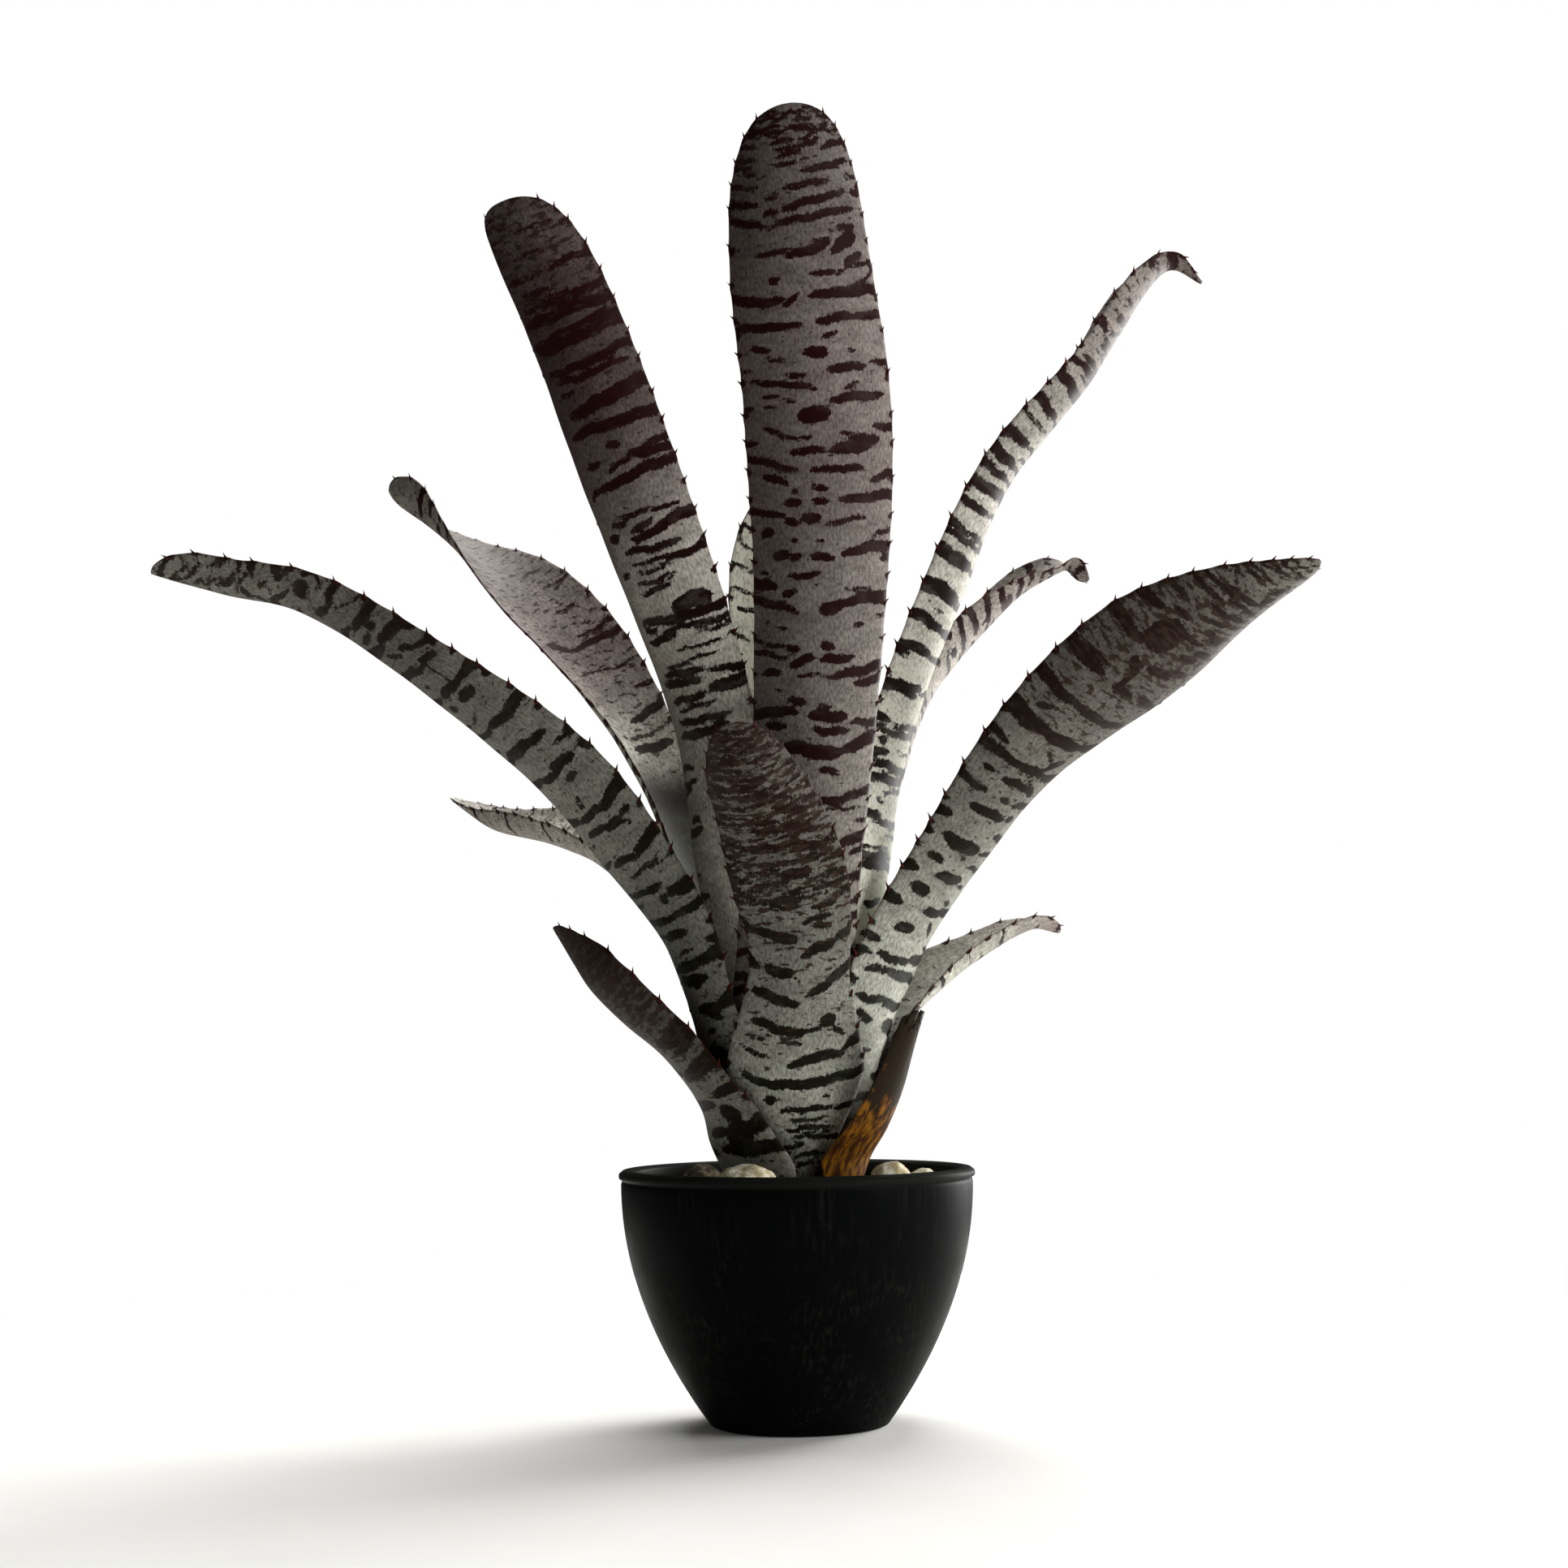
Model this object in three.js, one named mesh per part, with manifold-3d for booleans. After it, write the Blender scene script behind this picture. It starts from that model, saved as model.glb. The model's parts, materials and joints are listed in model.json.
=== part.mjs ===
// A bromeliad in a round nursery pot: broad channelled leaves with spiny margins, banded silver and
// near-black, nested in a rosette on a short stem. The stem stands in soil dressed with pale stones.
// Millimetres, +Z up. The origin is the centre of the pot's foot and the front is -Y.
import * as THREE from 'three';
import { mergeVertices } from 'three/addons/utils/BufferGeometryUtils.js';
import Module from 'manifold-3d';

const wasm = await Module();
wasm.setup();

// Driving dimensions of the pot, its soil and the stem
const POT = {
  height: 113, footRadius: 39.5, shoulderRadius: 79, shoulderHeight: 107, lipRadius: 80,
  mouthRadius: 73, wall: 4, floor: 4, segments: 48,
};
const SOIL_TOP = 97.5;
const SEAT_GAP = 0.3;
const STEM = { bottom: 70, segments: 32 };

// The rosette: sheaths are numbered from 1 at the heart to 7 at the outside
const ROSETTE = {
  outerLayer: 7,
  outerStartRadius: 24, startRadiusStep: 3.2,
  outerStartHeight: SOIL_TOP + SEAT_GAP, startHeightStep: 6.5,
  innerFullRadius: 33, fullRadiusStep: 3.4,
  rise: 40,
};

// The leaf sheet: thickness at the sheath, on the blade's midrib and at the margin, and its mesh
const SHEET = { sheath: 1.0, blade: 1.6, margin: 0.9, tipHalfWidth: 1.2, spans: 6 };
const SHEATH_ROWS = [0, 0.3, 0.65];
const BLADE_ROWS = 9;
const TIP_ROWS = [1, 0.62, 0.3, 0.1, 0];
// Points of the midrib's curve in the sheath, as parts of the sheath's height
const SHEATH_KNOTS = [0, 0.22, 0.5, 0.8];

// Where a sheath opens into the blade, as lengths along the leaf from the end of the sheath
const OPENING = { before: 25, length: 75 };
// Wrap of a sheath round the stem, in degrees each side of the midrib, at its root and halfway up
const SHEATH_WRAP = [70, 62];

// Marginal spines: sunk is how deep the root goes into the sheet, forward is how far a spine leans to
// the tip for each unit out from the margin, and tipScale is the size of the last one
const SPINE = {
  length: 3.6, pitch: 17, base: 2.4, thickness: 0.56, sunk: 1.2, forward: 0.5, tipScale: 0.6,
};

const STONE_SEED = 7;
const STONE_ROUGHNESS = 0.16;

const SCURF = 0xa3a39b;
const DARK_LEAF = 0x4a4038;

// Each leaf: compass angle of its midrib (0 is the front, 90 the right), its place in the rosette,
// the height where the sheath ends, then the midrib as [distance from the axis, height]. Along the
// blade from sheath to tip run its half width, the half angle of its channel, its twist and how far
// the midrib strays sideways. tip is the length that narrows to the point, and how blunt that is.
const LEAVES = [
  {
    name: 'leaf_centre_tall', color: SCURF, azimuth: 2, layer: 4, sheathEnd: 200, wrap: [62, 58],
    midrib: [[44, 213], [53, 252], [58, 293], [64, 340], [70, 396], [78, 450], [88, 500], [100, 570]],
    width: [28, 31, 36, 32], fold: [48, 48, 45, 54], twist: [0, 4, 6], drift: [8.5, 12.5, 0],
    tip: [55, 2.2],
  },
  {
    name: 'leaf_left_tall', color: SCURF, azimuth: -52, layer: 3, sheathEnd: 205,
    midrib: [[38, 215], [45, 252], [50, 296], [67, 347], [88, 397], [108, 445], [131, 490], [154, 530]],
    width: [29, 33, 31, 28], fold: [44, 50, 63, 66], twist: [3, 22, 24], drift: [-2.5, -3, 0],
    tip: [50, 2.4],
  },
  {
    name: 'leaf_right_tall', color: SCURF, azimuth: 86, layer: 3, sheathEnd: 205, wrap: [66, 60],
    midrib: [[38, 215], [44, 252], [51, 296], [75, 362], [102, 423], [139, 469], [177, 522], [192, 515]],
    width: [31, 32, 28, 22], fold: [37, 70, 65, 58], twist: [0, 4, 11], drift: [0, -2, 2],
    tip: [45, 1.7],
  },
  {
    name: 'leaf_left_arching', color: SCURF, azimuth: -76, layer: 5, sheathEnd: 175,
    midrib: [[47, 185], [58, 214], [82, 246.6], [112, 282.4], [164, 324.6], [220, 360], [256, 368], [285, 376]],
    width: [34, 36, 29, 24], fold: [50, 62, 56, 60], twist: [12, 5, -4], drift: [0, 3, -3],
    tip: [30, 2.4],
  },
  {
    name: 'leaf_right_arching', color: SCURF, azimuth: 66, layer: 5, sheathEnd: 175,
    midrib: [[47, 185], [57, 212], [82, 250], [115, 287], [160, 321], [205, 348.6], [245, 368]],
    width: [33, 33, 38, 30], fold: [50, 60, 44, 60], twist: [-10, -28, -16], drift: [17, 4, -2],
    tip: [80, 1.6],
  },
  {
    name: 'leaf_front_short', color: SCURF, azimuth: 0, layer: 6, sheathEnd: 150, wrap: [12, 34],
    midrib: [[44, 156], [49, 186], [54, 216], [63, 238], [78, 257], [98, 276], [122, 300]],
    width: [33, 24, 26, 23, 19], fold: [39, 44, 24, 40, 49], twist: [0, 0, 0], drift: [2, -8, -24],
    tip: [45, 2],
  },
  {
    name: 'leaf_left_back', color: SCURF, azimuth: -118, layer: 4, sheathEnd: 200, wrap: [50, 50],
    midrib: [[43, 212], [66, 271], [97, 324], [124, 362], [153, 391], [190, 418], [228, 449]],
    width: [29, 33, 29, 20], fold: [42, 37, 41, 47], twist: [-1, -22, 42], drift: [-4, 2, 0],
    tip: [30, 2],
  },
  {
    name: 'leaf_left_back_low', color: SCURF, azimuth: -135, layer: 6, sheathEnd: 165, wrap: [50, 50],
    midrib: [[46, 176], [60, 202], [86, 230], [124, 256], [168, 270], [212, 280], [251, 298]],
    width: [29, 28, 26, 18], fold: [38, 54, 72, 62], twist: [-2, -6, 1], drift: [0, 1, 0],
    tip: [60, 1.7],
  },
  {
    name: 'leaf_left_low', color: DARK_LEAF, azimuth: -82, layer: 7, sheathEnd: 132, wrap: [85, 82],
    midrib: [[42, 139], [58, 162], [77, 179], [91, 193], [99, 206], [108, 222]],
    width: [44, 31, 27, 22], fold: [50, 62, 62, 63], twist: [0, 8, 6], drift: [8, 5, -8],
    tip: [45, 1.7],
  },
  {
    name: 'leaf_right_back', color: SCURF, azimuth: 135, layer: 4, sheathEnd: 200, wrap: [24, 24],
    midrib: [[43, 212], [54, 269], [69, 306], [89, 339], [116, 370], [137, 390], [151, 398.5], [158, 393]],
    width: [20, 25, 23, 15], fold: [40, 58, 62, 50], twist: [-6, -36, 12], drift: [-7, -27, -50],
    tip: [40, 1.9],
  },
  {
    name: 'leaf_right_back_low', color: SCURF, azimuth: 116, layer: 6, sheathEnd: 160, wrap: [50, 50],
    midrib: [[44, 168], [59, 184], [79, 198], [101, 211], [126, 222], [141, 220]],
    width: [28, 26, 19, 16], fold: [37, 58, 54, 65], twist: [6, -2, 0], drift: [0, -2, 0],
    tip: [40, 1.8],
  },
  {
    name: 'leaf_back', color: SCURF, azimuth: 180, layer: 2, sheathEnd: 205,
    midrib: [[34, 216], [37, 265], [40, 315], [44, 360], [51, 401], [60, 440], [68, 480]],
    width: [30, 29, 29, 24], fold: [37, 50, 50, 60], twist: [0, 0, 0], drift: [0, 0, -43],
    tip: [60, 1.7],
  },
  {
    name: 'leaf_heart', color: SCURF, azimuth: 150, layer: 1, sheathEnd: 190,
    midrib: [[28, 203], [29, 240], [30, 280], [33, 320]],
    width: [22, 20, 17, 12], fold: [50, 60, 70, 70], twist: [0, 0, 0], drift: [0, 0, 0],
    tip: [45, 1.8],
  },
  {
    name: 'leaf_dead_stub', color: 0x7a5320, azimuth: 46, layer: 7, sheathEnd: 112, wrap: [27, 25],
    midrib: [[34, 117], [46, 131], [58, 147], [66, 163], [73, 178]],
    width: [16, 13, 10, 7], fold: [29, 30, 40, 52], twist: [0, 0, 0], drift: [0, 0, 0],
    tip: [4, 2], spineless: true,
  },
];

// Stones on the soil: a few large ones at the front, and a ring of smaller ones from the right round
// the back to the left. Angles are compass angles, ranges are [smallest, largest].
const CREAM = 0xcdbd97;
const BROWN = 0x8a7558;
const FRONT_STONES = [
  { x: -21, y: -53, radius: 13, height: 19, color: CREAM },
  { x: -41, y: -33, radius: 8.5, height: 19, color: BROWN },
  { x: 41, y: -39, radius: 8.5, height: 19.5, color: CREAM },
  { x: 56, y: -27, radius: 8, height: 15.5, color: CREAM },
];
const RING_STONES = {
  count: 9, from: 108, to: 282, distance: [53.5, 56.5], radius: [7.6, 9.4], height: [7.6, 9],
  brownShare: 0.3,
};

// A shaded finish for one sub-part
function finish(color, roughness, metalness = 0) {
  return new THREE.MeshStandardMaterial({ color, roughness, metalness });
}

// Repeatable random numbers from 0 to 1 (a small linear congruential generator)
function seededRandom(seed) {
  const modulus = 2147483647;
  const multiplier = 16807;
  let state = seed;
  return () => {
    state = (state * multiplier) % modulus;
    return state / modulus;
  };
}

// Value at t (0 to 1) of a smooth curve through evenly spaced values
function along(values, t) {
  const knots = values.map((value, i) => new THREE.Vector2(i, value));
  return new THREE.SplineCurve(knots).getPoint(THREE.MathUtils.clamp(t, 0, 1)).y;
}

// Outer radius of the pot's bowed wall
function potRadius(z) {
  const t = z / POT.shoulderHeight;
  return POT.footRadius + (POT.shoulderRadius - POT.footRadius) * (2 * t - t * t);
}

// Solid of revolution about +Z from [radius, height] points
function turned(profile, segments) {
  const points = profile.map(([radius, z]) => new THREE.Vector2(radius, z));
  return new THREE.LatheGeometry(points, segments).rotateX(Math.PI / 2);
}

function potGeometry() {
  const top = POT.height;
  const outside = [11, 24, 39, 57, 80].map((z) => [potRadius(z), z]);
  const inside = [100, 77, 53, 32, 15].map((z) => [potRadius(z) - POT.wall, z]);
  return turned([
    [0, 0], [POT.footRadius - 1.5, 0], [POT.footRadius + 0.4, 0.6], [POT.footRadius + 1.4, 2],
    ...outside,
    [POT.shoulderRadius, POT.shoulderHeight], [POT.shoulderRadius - 0.6, 108.3],
    [POT.lipRadius, 109.4], [POT.lipRadius, 111.4], [POT.lipRadius - 2, top],
    [POT.mouthRadius + 1.4, top], [POT.mouthRadius, 111.6],
    [POT.mouthRadius, 106],
    ...inside,
    [potRadius(POT.floor) - POT.wall - 2, POT.floor], [0, POT.floor],
  ], POT.segments);
}

// Soil fills the pot to SOIL_TOP, with a plain round hole where the stem stands
function soilGeometry() {
  const inset = POT.wall + SEAT_GAP;
  const hole = stemRadius(ROSETTE.outerLayer) + SEAT_GAP;
  const bottom = POT.floor + SEAT_GAP;
  const side = [15, 32, 53, 77, SOIL_TOP].map((z) => [potRadius(z) - inset, z]);
  return turned([
    [0, bottom], [potRadius(bottom) - inset - 2.5, bottom], ...side,
    [hole, SOIL_TOP], [hole, STEM.bottom], [0, STEM.bottom],
  ], POT.segments);
}

// Where the sheath of a layer leaves the stem, and how wide its layer opens
function startRadius(layer) {
  return ROSETTE.outerStartRadius - (ROSETTE.outerLayer - layer) * ROSETTE.startRadiusStep;
}

function startHeight(layer) {
  return ROSETTE.outerStartHeight + (ROSETTE.outerLayer - layer) * ROSETTE.startHeightStep;
}

function sheathRadius(layer, z) {
  const start = startRadius(layer);
  const full = ROSETTE.innerFullRadius + (layer - 1) * ROSETTE.fullRadiusStep;
  return start + (full - start) * (1 - Math.exp(-(z - startHeight(layer)) / ROSETTE.rise));
}

// The stem is a stub with a cone on top, just inside the flat facets of the sheaths' roots
function stemRadius(layer) {
  const facetAllowance = 0.96;
  return facetAllowance * (startRadius(layer) - SHEET.sheath / 2) - SEAT_GAP;
}

function stemGeometry() {
  const shoulder = startHeight(ROSETTE.outerLayer);
  const apex = startHeight(1);
  const radius = stemRadius(ROSETTE.outerLayer);
  return turned([
    [0, STEM.bottom + SEAT_GAP], [radius, STEM.bottom + SEAT_GAP], [radius, shoulder],
    [stemRadius(1), apex], [0, apex + 1],
  ], STEM.segments);
}

// The midrib as a curve, and how much of its length is sheath
function leafPath(leaf) {
  const angle = THREE.MathUtils.degToRad(leaf.azimuth);
  const out = new THREE.Vector3(Math.sin(angle), -Math.cos(angle), 0);
  const side = new THREE.Vector3(Math.cos(angle), Math.sin(angle), 0);
  const place = (radius, z, drift) => out.clone().multiplyScalar(radius)
    .addScaledVector(side, drift).setZ(z);
  const start = startHeight(leaf.layer);
  const points = SHEATH_KNOTS.map((part) => {
    const z = THREE.MathUtils.lerp(start, leaf.sheathEnd, part);
    return place(sheathRadius(leaf.layer, z), z, 0);
  });
  leaf.midrib.forEach(([radius, z], i) => {
    points.push(place(radius, z, along([0, ...leaf.drift], i / (leaf.midrib.length - 1))));
  });
  const curve = new THREE.CatmullRomCurve3(points);
  const divisionsPerSpan = 40;
  curve.arcLengthDivisions = divisionsPerSpan * (points.length - 1);
  return {
    curve, out,
    length: curve.getLength(),
    sheathLength: curve.getLengths()[divisionsPerSpan * SHEATH_KNOTS.length],
  };
}

// The leaf's cross-section at a length along its midrib: an arc that is curled round the plant's
// axis in the sheath and square to the midrib on the blade
function leafSection(leaf, path, length) {
  const up = new THREE.Vector3(0, 0, 1);
  const centre = path.curve.getPointAt(length / path.length);
  const tangent = path.curve.getTangentAt(length / path.length);
  const beyond = length - path.sheathLength;
  const blade = beyond / (path.length - path.sheathLength);
  const opening = THREE.MathUtils.smoothstep(beyond + OPENING.before, 0, OPENING.length);
  const normal = up.clone().lerp(tangent, opening).normalize();
  const lean = Math.atan2(normal.dot(path.out), normal.z);
  const outward = path.out.clone().multiplyScalar(Math.cos(lean)).addScaledVector(up, -Math.sin(lean));
  const across = normal.clone().cross(outward).normalize();
  outward.crossVectors(across, normal);
  const twist = THREE.MathUtils.degToRad(along([0, ...leaf.twist], blade));
  across.applyAxisAngle(normal, twist);
  outward.applyAxisAngle(normal, twist);

  const [rootWrap, middleWrap] = (leaf.wrap ?? SHEATH_WRAP).map(THREE.MathUtils.degToRad);
  const start = startHeight(leaf.layer);
  const middle = (start + leaf.sheathEnd) / 2;
  const sheathWidths = [
    sheathRadius(leaf.layer, start) * rootWrap,
    sheathRadius(leaf.layer, middle) * middleWrap,
    leaf.width[0],
  ];
  const bladeWidth = along(leaf.width, blade);
  const fullWidth = blade > 0 ? bladeWidth : along(sheathWidths, length / path.sheathLength);
  const fold = THREE.MathUtils.degToRad(along(leaf.fold, blade));
  const curl = THREE.MathUtils.lerp(1 / centre.dot(path.out), fold / bladeWidth, opening);
  const [tipLength, bluntness] = leaf.tip;
  const narrowing = Math.max(0, 1 - (path.length - length) / tipLength);
  const rounding = (1 - narrowing ** bluntness) ** (1 / bluntness);
  const halfWidth = Math.max(fullWidth * rounding, SHEET.tipHalfWidth);
  const thickness = THREE.MathUtils.lerp(SHEET.sheath, SHEET.blade, opening);
  return { centre, across, outward, curl, halfWidth, thickness };
}

// Point of a section at u (-1 to 1 across the leaf), half a thickness to the outer (+1) or inner (-1)
// face, or on the middle of the sheet (0)
function sectionPoint(section, u, face) {
  const { centre, across, outward, curl, halfWidth, thickness } = section;
  const angle = u * halfWidth * curl;
  const half = THREE.MathUtils.lerp(thickness, SHEET.margin, u * u) / 2;
  const radius = 1 / curl;
  return centre.clone()
    .addScaledVector(across, radius * Math.sin(angle))
    .addScaledVector(outward, -radius * (1 - Math.cos(angle)))
    .addScaledVector(outward, face * half * Math.cos(angle))
    .addScaledVector(across, face * half * Math.sin(angle));
}

// Lengths along the midrib where the leaf's mesh has a row
function leafRows(leaf, path) {
  const bladeEnd = path.length - leaf.tip[0];
  const rows = SHEATH_ROWS.map((part) => part * path.sheathLength);
  for (let i = 0; i < BLADE_ROWS; i += 1) {
    rows.push(THREE.MathUtils.lerp(path.sheathLength, bladeEnd, i / BLADE_ROWS));
  }
  return [...rows, ...TIP_ROWS.map((part) => path.length - part * leaf.tip[0])];
}

// A closed sheet: each row is a loop over the outer face and back over the inner face. Both faces
// are split along the same diagonals.
function sheetGeometry(leaf, path) {
  const { spans } = SHEET;
  const rows = leafRows(leaf, path).map((length) => {
    const section = leafSection(leaf, path, length);
    const steps = Array.from({ length: spans + 1 }, (_, i) => (2 * i) / spans - 1);
    return [
      ...steps.map((u) => sectionPoint(section, u, 1)),
      ...steps.reverse().map((u) => sectionPoint(section, u, -1)),
    ];
  });
  const loop = 2 * (spans + 1);
  const positions = rows.flat().flatMap((p) => p.toArray());
  const index = [];
  for (let row = 0; row < rows.length - 1; row += 1) {
    for (let j = 0; j < loop; j += 1) {
      const a = row * loop + j;
      const b = row * loop + ((j + 1) % loop);
      const d = a + loop;
      const c = b + loop;
      if (j <= spans) index.push(a, b, c, a, c, d);
      else index.push(a, b, d, b, c, d);
    }
  }
  const lastRow = (rows.length - 1) * loop;
  for (let i = 0; i < spans; i += 1) {
    const [a, b, c, d] = [i, i + 1, loop - 2 - i, loop - 1 - i];
    index.push(a, c, b, a, d, c);
    index.push(lastRow + a, lastRow + b, lastRow + c, lastRow + a, lastRow + c, lastRow + d);
  }
  const geometry = new THREE.BufferGeometry();
  geometry.setAttribute('position', new THREE.Float32BufferAttribute(positions, 3));
  geometry.setIndex(index);
  return geometry;
}

// A three-sided spine on a margin point, its root sunk into the sheet
function spineGeometry(point, away, forward, face, scale) {
  const axis = away.clone().addScaledVector(forward, SPINE.forward).normalize();
  const root = point.clone().addScaledVector(away, -SPINE.sunk);
  const halfBase = (SPINE.base / 2) * scale;
  const halfThick = SPINE.thickness / 2;
  const corners = [
    root.clone().addScaledVector(forward, -halfBase),
    root.clone().addScaledVector(forward, halfBase).addScaledVector(face, halfThick),
    root.clone().addScaledVector(forward, halfBase).addScaledVector(face, -halfThick),
    point.clone().addScaledVector(axis, SPINE.length * scale),
  ];
  const geometry = new THREE.BufferGeometry();
  geometry.setAttribute('position',
    new THREE.Float32BufferAttribute(corners.flatMap((p) => p.toArray()), 3));
  const mirrored = forward.clone().cross(face).dot(away) > 0;
  geometry.setIndex(mirrored
    ? [0, 1, 2, 0, 3, 1, 1, 3, 2, 2, 3, 0]
    : [0, 2, 1, 0, 1, 3, 1, 2, 3, 2, 0, 3]);
  return geometry;
}

// Point on the mesh's margin, which runs straight from one row to the next
function marginPoint(leaf, path, rows, length, u) {
  const next = rows.findIndex((row) => row > length);
  const [before, after] = [rows[next - 1], rows[next]];
  const [from, to] = [before, after].map((row) => sectionPoint(leafSection(leaf, path, row), u, 0));
  return from.lerp(to, (length - before) / (after - before));
}

// Spines along both margins at an even pitch, smaller towards the tip
function leafSpines(leaf, path) {
  const spines = [];
  const reach = 0.5;
  const rows = leafRows(leaf, path);
  const spineAt = (length, u, scale) => {
    const section = leafSection(leaf, path, length);
    const angle = u * section.halfWidth * section.curl;
    const face = section.outward.clone().multiplyScalar(Math.cos(angle))
      .addScaledVector(section.across, Math.sin(angle));
    const before = marginPoint(leaf, path, rows, length - reach, u);
    const forward = marginPoint(leaf, path, rows, length + reach, u).sub(before).normalize();
    const away = forward.clone().cross(face).multiplyScalar(u).normalize();
    spines.push(spineGeometry(marginPoint(leaf, path, rows, length, u), away, forward, face, scale));
  };
  const first = path.sheathLength + SPINE.pitch / 2;
  const last = path.length - leaf.tip[0] / 4;
  const count = Math.round((last - first) / SPINE.pitch);
  for (let i = 0; i <= count; i += 1) {
    const length = THREE.MathUtils.lerp(first, last, i / count);
    const scale = THREE.MathUtils.lerp(1, SPINE.tipScale, i / count);
    spineAt(length, 1, scale);
    spineAt(length - SPINE.pitch / 3, -1, scale);
  }
  return spines;
}

// A geometry as a manifold solid, whichever way its triangles were wound
function toSolid(geometry) {
  const merged = geometry.clone();
  merged.deleteAttribute('normal');
  merged.deleteAttribute('uv');
  const welded = mergeVertices(merged, 1e-5);
  const vertProperties = new Float32Array(welded.attributes.position.array);
  const triVerts = new Uint32Array(welded.index.array);
  return new wasm.Manifold(new wasm.Mesh({ numProp: 3, vertProperties, triVerts }));
}

function fromSolid(solid) {
  const mesh = solid.getMesh();
  const geometry = new THREE.BufferGeometry();
  geometry.setAttribute('position', new THREE.Float32BufferAttribute(mesh.vertProperties, 3));
  geometry.setIndex(Array.from(mesh.triVerts));
  return geometry;
}

// A whole leaf: the sheet with its spines fused on
function leafGeometry(leaf) {
  const path = leafPath(leaf);
  let solid = toSolid(sheetGeometry(leaf, path));
  if (!leaf.spineless) {
    for (const spine of leafSpines(leaf, path)) solid = solid.add(toSolid(spine));
  }
  return fromSolid(solid);
}

// A lumpy stone: a ball with each corner pushed in or out at random, squashed to its height
function stoneGeometry(radius, height, random) {
  const ball = new THREE.IcosahedronGeometry(1, 1);
  ball.deleteAttribute('normal');
  ball.deleteAttribute('uv');
  const stone = mergeVertices(ball, 1e-4);
  const corner = new THREE.Vector3();
  const { position } = stone.attributes;
  for (let i = 0; i < position.count; i += 1) {
    corner.fromBufferAttribute(position, i).multiplyScalar(1 - STONE_ROUGHNESS * random());
    position.setXYZ(i, corner.x, corner.y, corner.z);
  }
  stone.rotateZ(random() * Math.PI * 2);
  stone.computeBoundingBox();
  const size = stone.boundingBox.getSize(new THREE.Vector3());
  stone.scale((2 * radius) / size.x, (2 * radius) / size.y, height / size.z);
  stone.computeBoundingBox();
  stone.translate(0, 0, -stone.boundingBox.min.z);
  return stone;
}

function stoneList() {
  const stones = [...FRONT_STONES];
  const ring = RING_STONES;
  const random = seededRandom(STONE_SEED);
  const within = ([least, most]) => THREE.MathUtils.lerp(least, most, random());
  for (let i = 0; i < ring.count; i += 1) {
    const compass = THREE.MathUtils.lerp(ring.from, ring.to, i / (ring.count - 1));
    const angle = THREE.MathUtils.degToRad(compass);
    const distance = within(ring.distance);
    stones.push({
      x: distance * Math.sin(angle), y: -distance * Math.cos(angle),
      radius: within(ring.radius), height: within(ring.height),
      color: random() < ring.brownShare ? BROWN : CREAM,
    });
  }
  return stones;
}

const group = new THREE.Group();

function addMesh(name, geometry, material) {
  const mesh = new THREE.Mesh(geometry, material);
  mesh.name = name;
  group.add(mesh);
  return mesh;
}

addMesh('pot', potGeometry(), finish(0x1d1e20, 0.45));
addMesh('soil', soilGeometry(), finish(0x2b221b, 0.95));
addMesh('stem', stemGeometry(), finish(0x5b4a30, 0.9));
for (const leaf of LEAVES) addMesh(leaf.name, leafGeometry(leaf), finish(leaf.color, 0.6));
const stoneRandom = seededRandom(STONE_SEED + 1);
stoneList().forEach((stone, i) => {
  const mesh = addMesh(`stone_${i + 1}`, stoneGeometry(stone.radius, stone.height, stoneRandom),
    finish(stone.color, 0.85));
  mesh.position.set(stone.x, stone.y, SOIL_TOP + SEAT_GAP);
});

export default group;
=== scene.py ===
"""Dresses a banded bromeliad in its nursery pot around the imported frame.

Each leaf is a fine closed sheet over the same midrib, width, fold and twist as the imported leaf, with
margin spines and dark cross marks. Sizes in this file are millimetres. A mesh is written in metres.
"""

import json
import logging
import math
import random
from dataclasses import dataclass, field
from enum import Enum
from functools import partial
from typing import NamedTuple

import bmesh
import bpy
import numpy as np
from mathutils import Matrix, Vector, noise


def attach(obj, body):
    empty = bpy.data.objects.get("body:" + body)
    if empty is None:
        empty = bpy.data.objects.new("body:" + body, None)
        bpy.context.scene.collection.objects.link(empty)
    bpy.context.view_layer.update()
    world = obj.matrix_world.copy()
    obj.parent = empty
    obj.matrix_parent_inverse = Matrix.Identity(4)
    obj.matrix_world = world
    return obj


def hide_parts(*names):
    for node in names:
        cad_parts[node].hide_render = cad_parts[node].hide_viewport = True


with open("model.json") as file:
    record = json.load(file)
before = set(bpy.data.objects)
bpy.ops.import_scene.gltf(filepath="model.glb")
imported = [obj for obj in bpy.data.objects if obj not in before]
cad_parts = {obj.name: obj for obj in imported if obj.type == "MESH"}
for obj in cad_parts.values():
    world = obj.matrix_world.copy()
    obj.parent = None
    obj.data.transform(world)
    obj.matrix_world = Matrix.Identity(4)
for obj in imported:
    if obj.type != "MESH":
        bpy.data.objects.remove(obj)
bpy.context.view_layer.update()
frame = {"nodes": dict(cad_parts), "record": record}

LOG = logging.getLogger("bromeliad")
MM = 0.001
BODY = "root"
MERGE = 1e-7
UP = np.array([0.0, 0.0, 1.0])
SOFT = {"interpolation_type": "SMOOTHSTEP"}
COLOURS = {"data_type": "RGBA"}
NOISE_MIDDLE = 0.5
SCALE_AND_ADD = {"operation": "MULTIPLY_ADD"}


class Face(Enum):
    """The two faces of a leaf's sheet, by the side of the sheet's middle that they lie on."""

    OUTER = 1
    INNER = -1


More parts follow.
